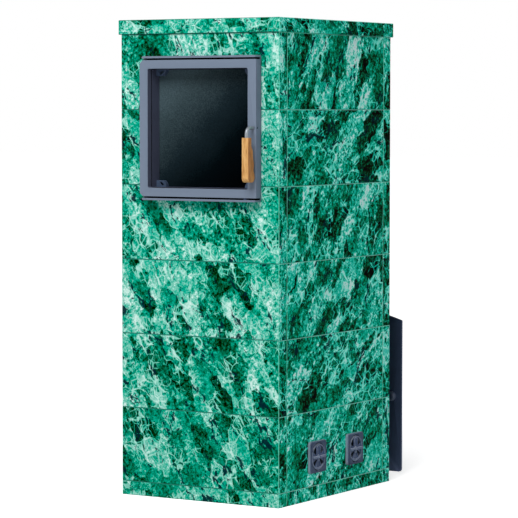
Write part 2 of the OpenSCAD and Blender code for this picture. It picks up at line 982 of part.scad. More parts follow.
// Places a piece at a corner of the window, turned towards the middle
module clip_at(x, z)
    translate([leaf_x + x * (win_w / 2 - carrier_t), 0, leaf_z + z * (win_h / 2 - carrier_t)])
        mirror([x > 0 ? 1 : 0, 0, 0])
            mirror([0, 0, z > 0 ? 1 : 0])
                children();

module clip_screw_at(x, z)
    translate([
        leaf_x + x * (win_w / 2 - carrier_t - clip_w * 0.32), glass_face - clip_d / 2,
        leaf_z + z * (win_h / 2 - carrier_t / 2)
    ])
        children();

module clip_outline(inset)
    intersection() {
        translate([inset, inset])
            square([clip_w - 2 * inset, clip_h - 2 * inset]);
        translate([clip_w * 0.38, 0]) {
            circle(clip_w * 0.62 - inset);
            translate([-clip_w, 0])
                square([clip_w, clip_h]);
        }
    }

// Cupped corner clip with a slanted slot, its rim against the glass
module glass_clips()
    color(cast)
        for (x = [-1, 1], z = [-1, 1])
            clip_at(x, z)
                difference() {
                    upright(glass_face, clip_d)
                        clip_outline(0);
                    upright(glass_face + through, clip_d - clip_t + through)
                        clip_outline(clip_t);
                    upright(glass_face, clip_d + through)
                        translate([clip_w * 0.55, clip_h * 0.5])
                            rotate(-40)
                                round_rect(11, 4.4, 2.1);
                    translate([clip_w * 0.32, glass_face - clip_d / 2, 0])
                        cylinder(r = clip_screw_r + 0.02, h = 8, center = true);
                }

module clip_screws()
    color(steel)
        for (x = [-1, 1], z = [-1, 1])
            clip_screw_at(x, z)
                mirror([0, 0, z > 0 ? 1 : 0]) {
                    translate([0, 0, -carrier_t / 2 - 1])
                        cylinder(r = clip_screw_r, h = carrier_t + clip_t + 4);
                    translate([0, 0, -carrier_t / 2 - 1.2])
                        cylinder(r = 3.2, h = 1.2);
                    translate([0, 0, carrier_t / 2 + clip_t])
                        cylinder(r = 3.6, h = 3, $fn = 6);
                }

// Lever handle of the steam door

module lever_bush()
    color(dark_paint)
        difference() {
            block(
                [lever_x - bush_w / 2, leaf_face + sheet, lever_z - bush_w / 2],
                [leaf_r - sheet, bush_back, lever_z + bush_w / 2]
            );
            translate([lever_x, leaf_face, lever_z])
                rotate([-90, 0, 0])
                    cylinder(r = rod_r + run, h = leaf_t);
            translate([lever_x, screw_y, lever_z])
                rotate([0, 90, 0])
                    cylinder(r = screw_r + 0.02, h = bush_w);
        }

module bush_screw()
    color(dark_paint)
        difference() {
            translate([lever_x + rod_r + touch, screw_y, lever_z])
                rotate([0, 90, 0])
                    cylinder(r = screw_r, h = leaf_r - 0.8 - lever_x - rod_r - touch);
            translate([leaf_r - 2.8, screw_y, lever_z])
                rotate([0, 90, 0])
                    cylinder(r = 1.3, h = 4, $fn = 6);
        }

module handle_rod()
    color(steel)
        union() {
            translate([lever_x, rod_y + bend_r, lever_z])
                rotate([-90, 0, 0])
                    cylinder(r = rod_r, h = bush_back + 0.6 - rod_y - bend_r);
            translate([lever_x, bush_back, lever_z])
                rotate([-90, 0, 0])
                    cylinder(r = spigot_r, h = finger_back + 1 - bush_back);
            translate([lever_x, rod_y + bend_r, lever_z - bend_r])
                rotate([90, 0, -90])
                    rotate_extrude(angle = 90)
                        translate([bend_r, 0])
                            circle(rod_r);
            translate([lever_x, rod_y, grip_top - grip_socket + 1])
                cylinder(r = rod_r, h = lever_z - bend_r - grip_top + grip_socket - 1);
        }

module latch_finger()
    color(steel)
        upright(finger_back, finger_t)
            translate([lever_x, lever_z])
                difference() {
                    union() {
                        circle(eye_r);
                        translate([-finger_w / 2, 0])
                            square([finger_w, finger_l]);
                    }
                    circle(spigot_r + 0.02);
                }

// Depth of the grip at a share u of its wavy back, counted from the top: a straight neck, then three
// swells, each deeper than the one above it
function swell(t) = 0.4 + 0.4 * t - 0.08 * t * t + (0.04 + 0.05 * t) * cos(360 * t);
function shoulder(u) = u < 0.17 ? 0 : u > 0.33 ? 1 : (1 - cos(180 * (u - 0.17) / 0.16)) / 2;
function grip_depth(u) = grip_neck + (grip_belly - grip_neck) * shoulder(u) * swell((u - 0.33) / 0.325);

module grip_profile() {
    end_z = grip_top - grip_h + grip_end_r;
    steps = 24;
    fall = grip_h - grip_end_r - 1;
    front_y = grip_face + grip_end_r;
    back_y = grip_face + grip_depth(1) - grip_end_r;
    polygon(concat(
        [[grip_face, end_z], [grip_face, grip_top - 1], [grip_face + 1, grip_top]],
        [[grip_face + grip_neck - 1, grip_top]],
        [for (i = [0:steps]) [grip_face + grip_depth(i / steps), grip_top - 1 - fall * i / steps]],
        [for (a = [-10:-10:-90]) [back_y + grip_end_r * cos(a), end_z + grip_end_r * sin(a)]],
        [for (a = [-90:-10:-170]) [front_y + grip_end_r * cos(a), end_z + grip_end_r * sin(a)]]
    ));
}

module handle_grip()
    color(timber)
        difference() {
            intersection() {
                sideways(lever_x - grip_w / 2, grip_w)
                    grip_profile();
                translate([lever_x, grip_face + grip_belly, grip_top - grip_h - through])
                    linear_extrude(height = grip_h + 2 * through)
                        round_rect(grip_w, 2 * grip_belly, 1.4);
            }
            translate([lever_x, rod_y, grip_top - grip_socket])
                cylinder(r = rod_r + 0.02, h = grip_socket + through);
        }

// Vents

// Places a vent piece, drawn face up round the origin, on the right side of the casing
module on_side(y)
    translate([side_x, y, vent_z])
        rotate([90, 0, 90])
            children();

module ports(grow)
    for (a = [45:90:315])
        sector(a, port_half + grow, port_in - grow / 4, port_out + grow / 4);

module plate_square(inset)
    round_rect(vent_size - 2 * inset, vent_size - 2 * inset, vent_corner - inset);

module vent_plate(y)
    color(cast)
        on_side(y)
            difference() {
                union() {
                    linear_extrude(height = vent_t - vent_step)
                        plate_square(0);
                    linear_extrude(height = vent_t)
                        plate_square(vent_step);
                    translate([0, 0, -spigot_l])
                        difference() {
                            cylinder(r = spigot_out, h = spigot_l + 1);
                            translate([0, 0, -through])
                                cylinder(r = spigot_in, h = spigot_l + through);
                        }
                }
                translate([0, 0, vent_floor])
                    cylinder(r = vent_recess_r, h = vent_t);
                translate([0, 0, -through])
                    linear_extrude(height = vent_floor + 2 * through)
                        ports(2);
                translate([0, 0, -through])
                    cylinder(r = rivet_r + 0.02, h = vent_floor + 2 * through);
            }

// Outline of the upper spoke, which has an arched end
module arch_spoke(inset)
    intersection() {
        union() {
            translate([0, (port_out - arch_w / 2) / 2])
                square([arch_w - 2 * inset, port_out - arch_w / 2 - 2 * inset], center = true);
            translate([0, port_out - arch_w / 2])
                circle(arch_w / 2 - inset);
        }
        circle(port_out - inset);
    }

// Outline of the lower spoke's wedge, or of its rib at a smaller angle
module wedge_spoke(half, inset)
    sector(270, half - 2 * inset, 7 + 2 * inset, port_out - inset);

module vent_wheel(y)
    color(cast)
        on_side(y)
            translate([0, 0, vent_floor + touch])
                difference() {
                    union() {
                        linear_extrude(height = wheel_t)
                            difference() {
                                circle(wheel_d / 2);
                                difference() {
                                    ports(0);
                                    arch_spoke(0);
                                    wedge_spoke(spoke_half, 0);
                                }
                            }
                        linear_extrude(height = vent_t - vent_floor - touch)
                            difference() {
                                circle(wheel_d / 2);
                                circle(wheel_d / 2 - rim_w);
                            }
                        linear_extrude(height = wheel_t + 1.5)
                            difference() {
                                arch_spoke(0);
                                arch_spoke(2.4);
                            }
                        linear_extrude(height = wheel_t + 1.5)
                            difference() {
                                wedge_spoke(wedge_half, 0);
                                wedge_spoke(wedge_half, 2);
                            }
                        linear_extrude(height = wheel_t + bar_h)
                            square([bar_l, bar_w], center = true);
                        cylinder(r = hub_r, h = wheel_t + 2.5);
                    }
                    translate([0, 0, -through])
                        cylinder(r = rivet_r + run, h = wheel_t + bar_h + 2 * through);
                    translate([0, 0, wheel_t + 2.5])
                        cylinder(r = rivet_head_r + 1, h = bar_h);
                }

module vent_rivets()
    color(steel)
        for (y = [-vent_front_y, vent_rear_y])
            on_side(y) {
                translate([0, 0, -1.5])
                    cylinder(r = rivet_r, h = vent_floor + 2 * touch + wheel_t + 4);
                translate([0, 0, -1.5])
                    cylinder(r = rivet_head_r - 0.5, h = 1.5);
                translate([0, 0, vent_floor + 2 * touch + wheel_t + 2.5])
                    cylinder(r = rivet_head_r, h = 1.6);
            }

base_plate();
corner_posts();
top_ring();
plinth_strips();
for (n = [1:courses]) {
    front_slab(n);
    right_slab(n);
    rear_slab(n);
}
left_slabs();
cap_slab();
firebox();
stove_legs();
fire_grate();
baffle_plate();
fuel_tunnel();
stone_chamber();
smoke_channel();
flue_collar();
portal_plate();
portal_bolts();
fire_door();
fire_door_glass();
fire_hinge_pins();
fire_lever();
ash_drawer();
steam_portal();
door_seal();
door_hinge_pins();
door_rest_pad();
steam_door_frame();
glass_carrier();
steam_glass();
glass_gasket();
glass_clips();
clip_screws();
lever_bush();
bush_screw();
handle_rod();
latch_finger();
handle_grip();
vent_plate(-vent_front_y);  // vent_plate_front
vent_plate(vent_rear_y);  // vent_plate_rear
vent_wheel(-vent_front_y);  // vent_wheel_front
vent_wheel(vent_rear_y);  // vent_wheel_rear
vent_rivets();
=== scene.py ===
"""Looks of a wood-fired sauna stove in a casing of polished green marble slabs.

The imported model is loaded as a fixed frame. Slabs and plain inner parts keep their solids and get a
finish. Sheet metal, castings, the grip and the seals get pieces of their own over their solids.
"""

import json
import logging
import math
from collections.abc import Callable
from dataclasses import dataclass, field
from enum import Enum

import bmesh
import bpy
from mathutils import Euler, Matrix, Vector

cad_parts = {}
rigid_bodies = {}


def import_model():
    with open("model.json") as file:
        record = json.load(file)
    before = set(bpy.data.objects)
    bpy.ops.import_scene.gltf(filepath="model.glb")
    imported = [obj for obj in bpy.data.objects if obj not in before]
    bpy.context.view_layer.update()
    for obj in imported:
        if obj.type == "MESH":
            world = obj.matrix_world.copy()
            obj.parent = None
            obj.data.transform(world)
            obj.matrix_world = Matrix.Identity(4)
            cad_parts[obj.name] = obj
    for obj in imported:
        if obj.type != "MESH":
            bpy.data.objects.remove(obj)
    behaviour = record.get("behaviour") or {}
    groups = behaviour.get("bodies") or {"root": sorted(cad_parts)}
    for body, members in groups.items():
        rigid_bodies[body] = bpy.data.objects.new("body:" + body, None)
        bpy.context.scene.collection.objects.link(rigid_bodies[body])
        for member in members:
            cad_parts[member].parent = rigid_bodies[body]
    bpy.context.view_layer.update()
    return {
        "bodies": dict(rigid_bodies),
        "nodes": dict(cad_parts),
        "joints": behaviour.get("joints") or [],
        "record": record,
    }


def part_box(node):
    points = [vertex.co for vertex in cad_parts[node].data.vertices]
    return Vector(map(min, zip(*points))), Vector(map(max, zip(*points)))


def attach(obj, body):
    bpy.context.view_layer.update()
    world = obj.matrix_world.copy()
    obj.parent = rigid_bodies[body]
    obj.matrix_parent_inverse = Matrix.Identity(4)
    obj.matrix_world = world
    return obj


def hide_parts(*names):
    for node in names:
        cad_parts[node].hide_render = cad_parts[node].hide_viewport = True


logging.basicConfig(level=logging.INFO, format="%(message)s")
log = logging.getLogger("sauna_stove")

Colour = tuple[float, float, float, float]
Pair = tuple[float, float]
Point = tuple[float, float, float]
Piece = bpy.types.Object
Material = bpy.types.Material
Socket = bpy.types.NodeSocket

MM = 0.001
WHITE: Colour = (1.0, 1.0, 1.0, 1.0)
SHARP = 35.0  # least angle in degrees between two faces for their edge to count as sharp
WELD = 0.004 * MM  # points closer than this are one
FLAT = 0.6  # faces within this angle in degrees count as one flat face


def linear(hex_code: str, share: float = 1.0) -> Colour:
    """Turns an sRGB hex value into a linear colour.

    Args:
        hex_code: Six hex digits after a hash sign.
        share: How much of its light is left.

    Returns:
        Red, green and blue in linear light, and full opacity.
    """
    values = [int(hex_code[i:i + 2], 16) / 255 for i in (1, 3, 5)]
    red, green, blue = (share * (v / 12.92 if v <= 0.04045 else ((v + 0.055) / 1.055) ** 2.4) for v in values)
    return (red, green, blue, 1.0)


def radians(angles: Point) -> Point:
    """Turns three angles from degrees to radians."""
    return tuple(math.radians(angle) for angle in angles)


def metres(sizes: Point) -> Point:
    """Turns three sizes from millimetres to metres."""
    return tuple(size * MM for size in sizes)


# Materials

class Net:
    """Shader nodes of one material, or of the world, as they are laid out."""

    def __init__(self, owner: Material | bpy.types.World) -> None:
        """Empties the owner's node tree.

        Args:
            owner: The material or the world.
        """
        owner.use_nodes = True
        self.owner, self.tree = owner, owner.node_tree
        self.tree.nodes.clear()

    def add(self, kind: str, inputs: dict | None = None, **settings: object) -> bpy.types.Node:
        """Adds a shader node with its settings, values and links.

        Args:
            kind: Node type after the ShaderNode prefix.
            inputs: Input name or number to a value, or to the output socket that feeds it.
            settings: Attributes of the node itself.

        Returns:
            The new node.
        """
        node = self.tree.nodes.new("ShaderNode" + kind)
        for key, value in settings.items():
            setattr(node, key, value)
        for key, value in (inputs or {}).items():
            if isinstance(value, Socket):
                self.tree.links.new(value, node.inputs[key])
            else:
                node.inputs[key].default_value = value
        return node

    def place(self) -> Socket:
        """Returns the place on the object, in metres."""
        return self.add("TexCoord").outputs["Object"]

    def stretched(self, vector: Socket, length: float) -> Socket:
        """Returns coordinates whose patterns are drawn out upward to a share of their scale."""
        return self.add("Mapping", {"Vector": vector, "Scale": (1.0, 1.0, length)}).outputs[0]

    def math(self, operation: str, *values: Socket | float, clamp: bool = False) -> Socket:
        """Adds one sum on numbers and returns its result."""
        return self.add("Math", dict(enumerate(values)), operation=operation, use_clamp=clamp).outputs[0]

    def fit(self, value: Socket, source: Pair = (0.0, 1.0), target: Pair = (0.0, 1.0)) -> Socket:
        """Maps a value from one range to another, and holds it at the ends."""
        ends = {"From Min": source[0], "From Max": source[1], "To Min": target[0], "To Max": target[1]}
        return self.add("MapRange", {"Value": value, **ends}).outputs[0]

    def noise(self, vector: Socket, scale: float, detail: float = 2.0, rough: float = 0.5,
              warp: float = 0.0) -> Socket:
        """Adds clouds by their number to the metre, their octaves, the octaves' strength and their bend."""
        inputs = {"Vector": vector, "Scale": scale, "Detail": detail, "Roughness": rough, "Distortion": warp}
        return self.add("TexNoise", inputs).outputs[0]

    def ramp(self, factor: Socket, stops: list[tuple[float, Colour]]) -> Socket:
        """Colours a value by stops.

        Args:
            factor: The value, from 0 to 1.
            stops: Places from 0 to 1, in order, with their colours.

        Returns:
            The colour.
        """
        node = self.add("ValToRGB", {0: factor})
        elements = node.color_ramp.elements
        while len(elements) < len(stops):
            elements.new(0.5)
        for element, (place, colour) in zip(elements, stops):
            element.position, element.color = place, colour
        return node.outputs[0]

    def mix(self, share: Socket, first: Socket | Colour, second: Socket | Colour) -> Socket:
        """Blends two colours: the first at a share of 0, the second at 1."""
        return self.add("Mix", {0: share, 6: first, 7: second}, data_type="RGBA").outputs[2]

    def edges(self, start: float, full: float) -> Socket:
        """Returns 1 on jutting edges and 0 on flat faces, between two values of pointiness."""
        return self.fit(self.add("NewGeometry").outputs["Pointiness"], (start, full))

    def bump(self, height: Socket, strength: float, depth: float) -> Socket:
        """Turns a pattern into relief of a depth in metres."""
        return self.add("Bump", {"Height": height, "Strength": strength, "Distance": depth}).outputs[0]

    def close(self, shader: bpy.types.Node, kind: str = "OutputMaterial") -> Material | bpy.types.World:
        """Ends the tree with a shader and returns its owner."""
        self.add(kind, {"Surface": shader.outputs[0]})
        return self.owner

    def surface(self, inputs: dict) -> Material:
        """Ends the tree with one principled shader and returns the material."""
        return self.close(self.add("BsdfPrincipled", inputs))


@dataclass(frozen=True)
class Shades:
    """Greens of the marble as painted for one side's light, darkest fragment to calcite, and the painted light on its
    bevel faces.

    The stops place the greens on the pattern's tone, so that each covers its share of the stone.
    """

    stone: tuple[str, ...] = (
        "#010901", "#013404", "#015639", "#017653", "#019377", "#01ac88", "#01bca6", "#60c5a9", "#80cebc",
        "#97dccb", "#d7f4eb",
    )
    bevel_light_shade: tuple[str, str, str] = ("#6fdcc0", "#007361", "#005145")  # painted highlight and shade on bevel faces looking forward, up and down
    stops: tuple[float, ...] = (0.03, 0.11, 0.18, 0.26, 0.35, 0.42, 0.48, 0.55, 0.63, 0.72, 0.84)


# Front and top faces take the first greens and sideways faces the second. Each set suits how its side is lit, so the
# change between them is painted light and shade.
FRONT_LIT_GREENS = Shades()
SIDE_LIT_GREENS = Shades(
    stone=(
        "#010101", "#010101", "#012b01", "#01573b", "#017c4f", "#019c78", "#01bc94", "#01cfb8", "#40dcc6",
        "#6ffbe4", "#dafcf8",
    ),
    bevel_light_shade=("#6fdcc0", "#a4f5e4", "#2f8f80"),
)


@dataclass(frozen=True)
class Marble:
    """Natural green marble, sawn, edge-bevelled and polished.

    It is a breccia: long fragments of deep green serpentine lie in a mottled mint ground of calcite, with
    feathery white streaks, a few long veins and clusters of blue-black chromite spots. The polish shows as
    an even gloss over every colour.
    """

    turn: Point
    shift: Point
    lift: float = 0.0  # how much paler this slab is than the block
    coarse: float = 1.0  # size of the whole pattern
    joint: float = 0.40  # reach of the painted light and shade on up- and down-facing bevel faces, wide where only hidden faces are level
    stretch: float = 2.5  # length of a zone or a fragment over its width
    zone: float = 50 * MM  # width of the pale and the green zones
    clast: float = 38 * MM  # width of a large fragment
    chip: float = 21 * MM  # width of a small fragment
    feather: float = 8 * MM  # width of the feathery mottle
    streak: float = 13 * MM  # width of a streak
    bends: Point = (0.38, 0.15, 0.06)  # how far zones, feathers and small fragments are bent
    ground: Pair = (0.08, 0.84)  # tone of the darkest zone, and how much paler the palest is
    dapple: float = 1.1  # strength of the mottle in the dark fragments
    mottle: float = 2.2  # strength of the mottle in the pale ground
    drawn: float = 0.18  # how much paler the streaks are
    calcite: float = 0.66  # how pale the veins and the large fragments' borders are
    crackle: float = 0.52  # how pale the small fragments' borders are
    palest: float = 1.12  # tone of pure calcite
    long_veins: tuple[Point, ...] = ((0.50, 0.0, 0.009), (0.47, 0.5, 0.006), (0.53, -0.6, 0.006))
    ink: str = "#01262f"  # colour of the chromite spots
    bevel_light_strength: float = 0.85  # strength of the painted light and shade on the bevel faces

    def build(self, name: str) -> Material:
        """Builds the material.

        Args:
            name: Name of the material.

        Returns:
            The material.
        """
        net = Net(bpy.data.materials.new(name))
        laid = net.add("Mapping", {
            "Vector": net.place(), "Location": self.shift, "Rotation": radians(self.turn),
            "Scale": (self.coarse,) * 3,
        }, vector_type="TEXTURE").outputs[0]
        slow = self._bend(net, net.stretched(laid, 1 / self.stretch), laid, self.zone, self.bends[0])
        bent = self._bend(net, slow, laid, self.feather, self.bends[1])
        broken = self._bend(net, laid, laid, self.chip, self.bends[2])
        tone = self._veined(net, self._zoned(net, slow, bent, broken), laid, slow, bent, broken)
        return net.surface({
            "Base Color": self._coloured(net, tone, slow, bent), "Roughness": 0.24, "IOR": 1.5,
            "Specular IOR Level": 0.003,
        })

    @staticmethod
    def _bend(net: Net, vector: Socket, place: Socket, width: float, share: float) -> Socket:
        """Bends a pattern's coordinates.

        Args:
            net: The nodes to add to.
            vector: Coordinates to bend.
            place: Coordinates that the bends are read at.
            width: Width of one bend in metres.
            share: Reach of the bends as a share of their width.

        Returns:
            The bent coordinates.
        """
        bend = net.add("TexNoise", {"Vector": place, "Scale": 1 / width, "Detail": 2.0, "Roughness": 0.6})
        centred = net.add("VectorMath", {0: bend.outputs["Color"], 1: (0.5, 0.5, 0.5)}, operation="SUBTRACT")
        moved = net.add("VectorMath", {0: centred.outputs[0], "Scale": width * share * 2}, operation="SCALE")
        return net.add("VectorMath", {0: vector, 1: moved.outputs[0]}, operation="ADD").outputs[0]

    def _zoned(self, net: Net, slow: Socket, bent: Socket, broken: Socket) -> Socket:
        """Lays the pale and the green zones, their mottle and their streaks.

        Args:
            net: The nodes to add to.
            slow: Coordinates along the layers.
            bent: The same, feathered.
            broken: Coordinates of the small fragments.

        Returns:
            The tone.
        """
        zones = net.noise(slow, 1 / self.zone)
        tone = net.math("MULTIPLY_ADD", zones, self.ground[1], self.lift + self.ground[0])
        # The mottle is strong in the pale ground and faint in the dark fragments.
        mottle = net.noise(broken, 1 / self.feather, 2.0, 0.85)
        strength = net.fit(tone, (0.35, 0.60), (self.dapple, self.mottle))
        tone = net.math("MULTIPLY_ADD", net.math("SUBTRACT", mottle, 0.5), strength, tone)
        # Swarms of feathered streaks follow the layers.
        streaks = net.fit(net.noise(bent, 1 / self.streak, 2.0, 0.6), (0.54, 0.64), (0.0, self.drawn))
        return net.math("MULTIPLY_ADD", streaks, net.fit(zones, (0.46, 0.58)), tone)

    def _veined(self, net: Net, tone: Socket, laid: Socket, slow: Socket, bent: Socket, broken: Socket) -> Socket:
        """Breaks the stone into fragments and fills their borders and the long veins with calcite.

        Args:
            net: The nodes to add to.
            tone: Tone of the ground.
            laid: Coordinates of the slab.
            slow: Coordinates along the layers.
            bent: The same, feathered.
            broken: Coordinates of the small fragments.

        Returns:
            The tone with its veins.
        """
        presence = net.noise(laid, 1 / self.zone)
        veins = []
        # The borders are thick in some places and gone in others.
        for ground, width, weight, reach, share in (
                (bent, self.clast, 0.54, 0.076, self.calcite), (broken, self.chip, 0.14, 0.080, self.crackle)):
            inputs = {"Vector": ground, "Scale": 1 / width, "Randomness": 1.0}
            cell = net.add("TexVoronoi", inputs, feature="F1").outputs["Color"]
            edge = net.add("TexVoronoi", inputs, feature="DISTANCE_TO_EDGE").outputs["Distance"]
            shade = net.add("SeparateColor", {0: cell}).outputs[0]
            tone = net.math("MULTIPLY_ADD", shade, weight, net.math("SUBTRACT", tone, weight / 2))
            border = net.fit(presence, (0.36, 0.64), (-reach * 0.6, reach))
            veins.append((net.math("DIVIDE", net.math("SUBTRACT", border, edge), reach * 0.3, clamp=True), share))
        # The long veins cross them at a slant, open in some places and healed in others.
        opened = net.fit(presence, (0.44, 0.56))
        for level, tilt, reach in self.long_veins:
            leant = net.add("Mapping", {
                "Vector": slow, "Location": (level, 0.0, tilt), "Rotation": (tilt, tilt, 0.0),
                "Scale": (1.0, 1.0, 0.45),
            }).outputs[0]
            away = net.math("ABSOLUTE", net.math("SUBTRACT", net.noise(leant, 1 / (self.zone * 1.5)), level))
            ridge = net.math("SUBTRACT", 1.0, net.math("DIVIDE", away, reach), clamp=True)
            veins.append((net.math("MULTIPLY", ridge, opened), self.calcite))
        for vein, share in veins:
            pale = net.math("MULTIPLY", net.math("SUBTRACT", self.palest, tone), share)
            tone = net.math("MULTIPLY_ADD", vein, pale, tone)
        return tone

    def _coloured(self, net: Net, tone: Socket, slow: Socket, bent: Socket) -> Socket:
        """Colours the stone and its spots, and paints highlight and shade on its bevel faces by the way they look.

        Args:
            net: The nodes to add to.
            tone: The pattern's tone.
            slow: Coordinates along the layers.
            bent: The same, feathered.

        Returns:
            The colour.
        """
        tone = net.math("MULTIPLY", tone, 0.75)
        facing = net.add("SeparateXYZ", {0: net.add("NewGeometry").outputs["True Normal"]}).outputs
        # Faces looking forward or up take the front-lit greens and the rest take the side-lit greens: painted light
        # and shade by side.
        along = net.math("GREATER_THAN", net.math("SUBTRACT", facing[2], facing[1]), 0.5)
        cuts = [
            net.ramp(tone, [(place, linear(shade)) for place, shade in zip(cut.stops, cut.stone)])
            for cut in (SIDE_LIT_GREENS, FRONT_LIT_GREENS)]
        colour = net.mix(along, *cuts)
        grains = net.noise(bent, 1 / (self.feather * 0.9), 2.0, 0.6)
        cluster = net.noise(slow, 1 / (self.zone * 0.6), 1.0)
        spots = net.fit(net.math("MULTIPLY_ADD", cluster, 0.8, grains), (1.04, 1.11), (0.0, 0.97))
        colour = net.mix(spots, colour, linear(self.ink))
        # Bevel faces that look forward, up or down take a painted highlight or a painted shade.
        across = net.math("GREATER_THAN", net.math("ABSOLUTE", facing[0]), 0.4)
        for axis, level, reach, bed, cross in zip(
                (1, 2, 2), (-0.75, 0.75, -0.75), (0.12, self.joint, self.joint), FRONT_LIT_GREENS.bevel_light_shade, SIDE_LIT_GREENS.bevel_light_shade):
            slant = net.math("COMPARE", facing[axis], level, reach)
            tint = net.mix(across, linear(bed), linear(cross))
            colour = net.mix(net.math("MULTIPLY", slant, self.bevel_light_strength), colour, tint)
        return colour


@dataclass(frozen=True)
class Enamel:
    """Heat-proof stove paint, sprayed on sheet steel and baked.

    It is an even satin skin with a fine orange-peel texture, and its edges are a little paler, partly
    from wear and partly as a painted highlight.
    """

    name: str
    base: str = "#626f82"
    worn_and_highlit: str = "#738093"
    roughness: float = 0.42
    gloss: float = 0.2
    foot: str | None = None  # paler tone painted on the lower end as light bounced up from the floor
    painted_bounce_top: float = 0.38  # height in metres that the painted floor bounce reaches
    peel: float = 1.6 * MM  # width of a dimple
    faded: float = 0.35  # how far the palest patches go from the base to the pale edge tone

    def build(self) -> Material:
        """Builds the material under its own name.

        Returns:
            The material.
        """
        net = Net(bpy.data.materials.new(self.name))
        place = net.place()
        base, worn_and_highlit = linear(self.base), linear(self.worn_and_highlit)
        drift = net.noise(place, 14.0, 4.0, 0.6)
        peel = net.noise(place, 1 / self.peel)
        tint = net.math("MULTIPLY_ADD", peel, 0.25, net.math("MULTIPLY", drift, 0.75))
        skin = net.ramp(tint, [(0.35, base), (0.7, tuple(a + (b - a) * self.faded for a, b in zip(base, worn_and_highlit)))])
        # Painted light: the lower end turns paler, as light bounced up from the floor makes it.
        if self.foot:
            height = net.add("SeparateXYZ", {0: place}).outputs[2]
            skin = net.mix(net.fit(height, (self.painted_bounce_top, 0.0)), skin, linear(self.foot))
        # Edges take the pale tone, partly as wear and partly as a painted highlight.
        return net.surface({
            "Base Color": net.mix(net.edges(0.502, 0.56), skin, worn_and_highlit), "Specular IOR Level": self.gloss,
            "Roughness": net.fit(drift, target=(self.roughness - 0.05, self.roughness + 0.07)),
            "Normal": net.bump(peel, 0.08, 0.2 * MM),
        })


@dataclass(frozen=True)
class CastIron:
    """Grey cast iron from a sand mould, painted or blacked.

    The mould leaves a fine grain that catches the light, and the high edges are a little brighter, a painted
    highlight.
    """

    name: str
    base: str = "#2c3d5a"
    # colour of the painted highlight on the high edges
    edge: str = "#66748f"
    roughness: float = 0.38
    gloss: float = 0.04
    grain: float = 1.1 * MM  # width of a grain of the mould

    def build(self) -> Material:
        """Builds the material under its own name.

        Returns:
            The material.
        """
        net = Net(bpy.data.materials.new(self.name))
        place = net.place()
        sand = net.noise(place, 1 / self.grain, 4.0, 0.7)
        patch = net.noise(place, 40.0, 3.0)
        tint = net.math("MULTIPLY_ADD", sand, 0.5, net.math("MULTIPLY", patch, 0.5))
        skin = net.ramp(tint, [(0.38, linear(self.base, 0.7)), (0.55, linear(self.base))])
        # High edges take the paler colour: a painted highlight.
        return net.surface({
            "Base Color": net.mix(net.edges(0.505, 0.58), skin, linear(self.edge)), "Roughness": self.roughness,
            "Specular IOR Level": self.gloss, "Normal": net.bump(sand, 0.12, 0.25 * MM),
        })


@dataclass(frozen=True)
class HeatedSteel:
    """Rolled steel plate of the fire parts, with mill scale, soot and a bloom of heat.

    Broad cloudy tones change from blue-black to brown, and soot takes the shine off in patches.
    """

    name: str
    cold: str = "#262b33"
    warm: str = "#3a302b"
    soot: str = "#0f0f10"
    roughness: Pair = (0.55, 0.85)  # of bare scale and of soot

    def build(self) -> Material:
        """Builds the material under its own name.

        Returns:
            The material.
        """
        net = Net(bpy.data.materials.new(self.name))
        place = net.place()
        bloom = net.noise(place, 9.0, 6.0, 0.6)
        fine = net.noise(place, 260.0, 3.0)
        plate = net.ramp(bloom, [(0.40, linear(self.cold)), (0.62, linear(self.warm))])
        dust = net.fit(net.math("MULTIPLY", bloom, fine), (0.20, 0.34))
        return net.surface({
            "Base Color": net.mix(dust, plate, linear(self.soot)), "Metallic": 0.5,
            "Roughness": net.fit(dust, target=self.roughness), "Normal": net.bump(fine, 0.15, 0.2 * MM),
        })


@dataclass(frozen=True)
class BrightSteel:
    """Drawn stainless bar, ground along its length and left bright.

    Fine lines run along the bar and stretch its highlight across.
    """

    name: str
    base: str = "#8d9299"
    roughness: float = 0.36
    metallic: float = 0.75
    line: float = 0.5 * MM  # width of a ground line

    def build(self) -> Material:
        """Builds the material under its own name.

        Returns:
            The material.
        """
        net = Net(bpy.data.materials.new(self.name))
        lines = net.noise(net.stretched(net.place(), 0.06), 1 / self.line, 3.0)
        return net.surface({
            "Base Color": net.ramp(lines, [(0.35, linear(self.base, 0.82)), (0.65, linear(self.base))]),
            "Roughness": net.fit(lines, target=(self.roughness - 0.06, self.roughness + 0.1)),
            "Metallic": self.metallic, "Normal": net.bump(lines, 0.06, 0.05 * MM),
        })


@dataclass(frozen=True)
class Beech:
    """Steamed beech, shaped, sanded and oiled.

    Long straight grain runs up the grip, with the short dark flecks of beech rays across it.
    """

    name: str = "oiled_beech"
    light: str = "#e2b272"
    mid: str = "#d09a58"
    dark: str = "#a96f36"
    grain: float = 2.2 * MM  # width of a growth line
    fleck: float = 0.9 * MM  # width of a ray

    def build(self) -> Material:
        """Builds the material under its own name.

        Returns:
            The material.
        """
        net = Net(bpy.data.materials.new(self.name))
        place = net.place()
        grain = net.noise(net.stretched(place, 0.07), 1 / self.grain, 5.0, 0.6, 0.6)
        rays = net.noise(net.stretched(place, 0.3), 1 / self.fleck, 1.0)
        drift = net.noise(place, 45.0)
        tone = net.math("MULTIPLY_ADD", grain, 0.7, net.math("MULTIPLY", drift, 0.3))
        wood = net.ramp(tone, [(0.34, linear(self.dark)), (0.46, linear(self.mid)), (0.60, linear(self.light))])
        flecks = net.fit(rays, (0.62, 0.70), (0.0, 0.5))
        return net.surface({
            "Base Color": net.mix(flecks, wood, linear(self.dark)), "Roughness": 0.48, "Specular IOR Level": 0.35,
            "Normal": net.bump(grain, 0.12, 0.2 * MM),
        })


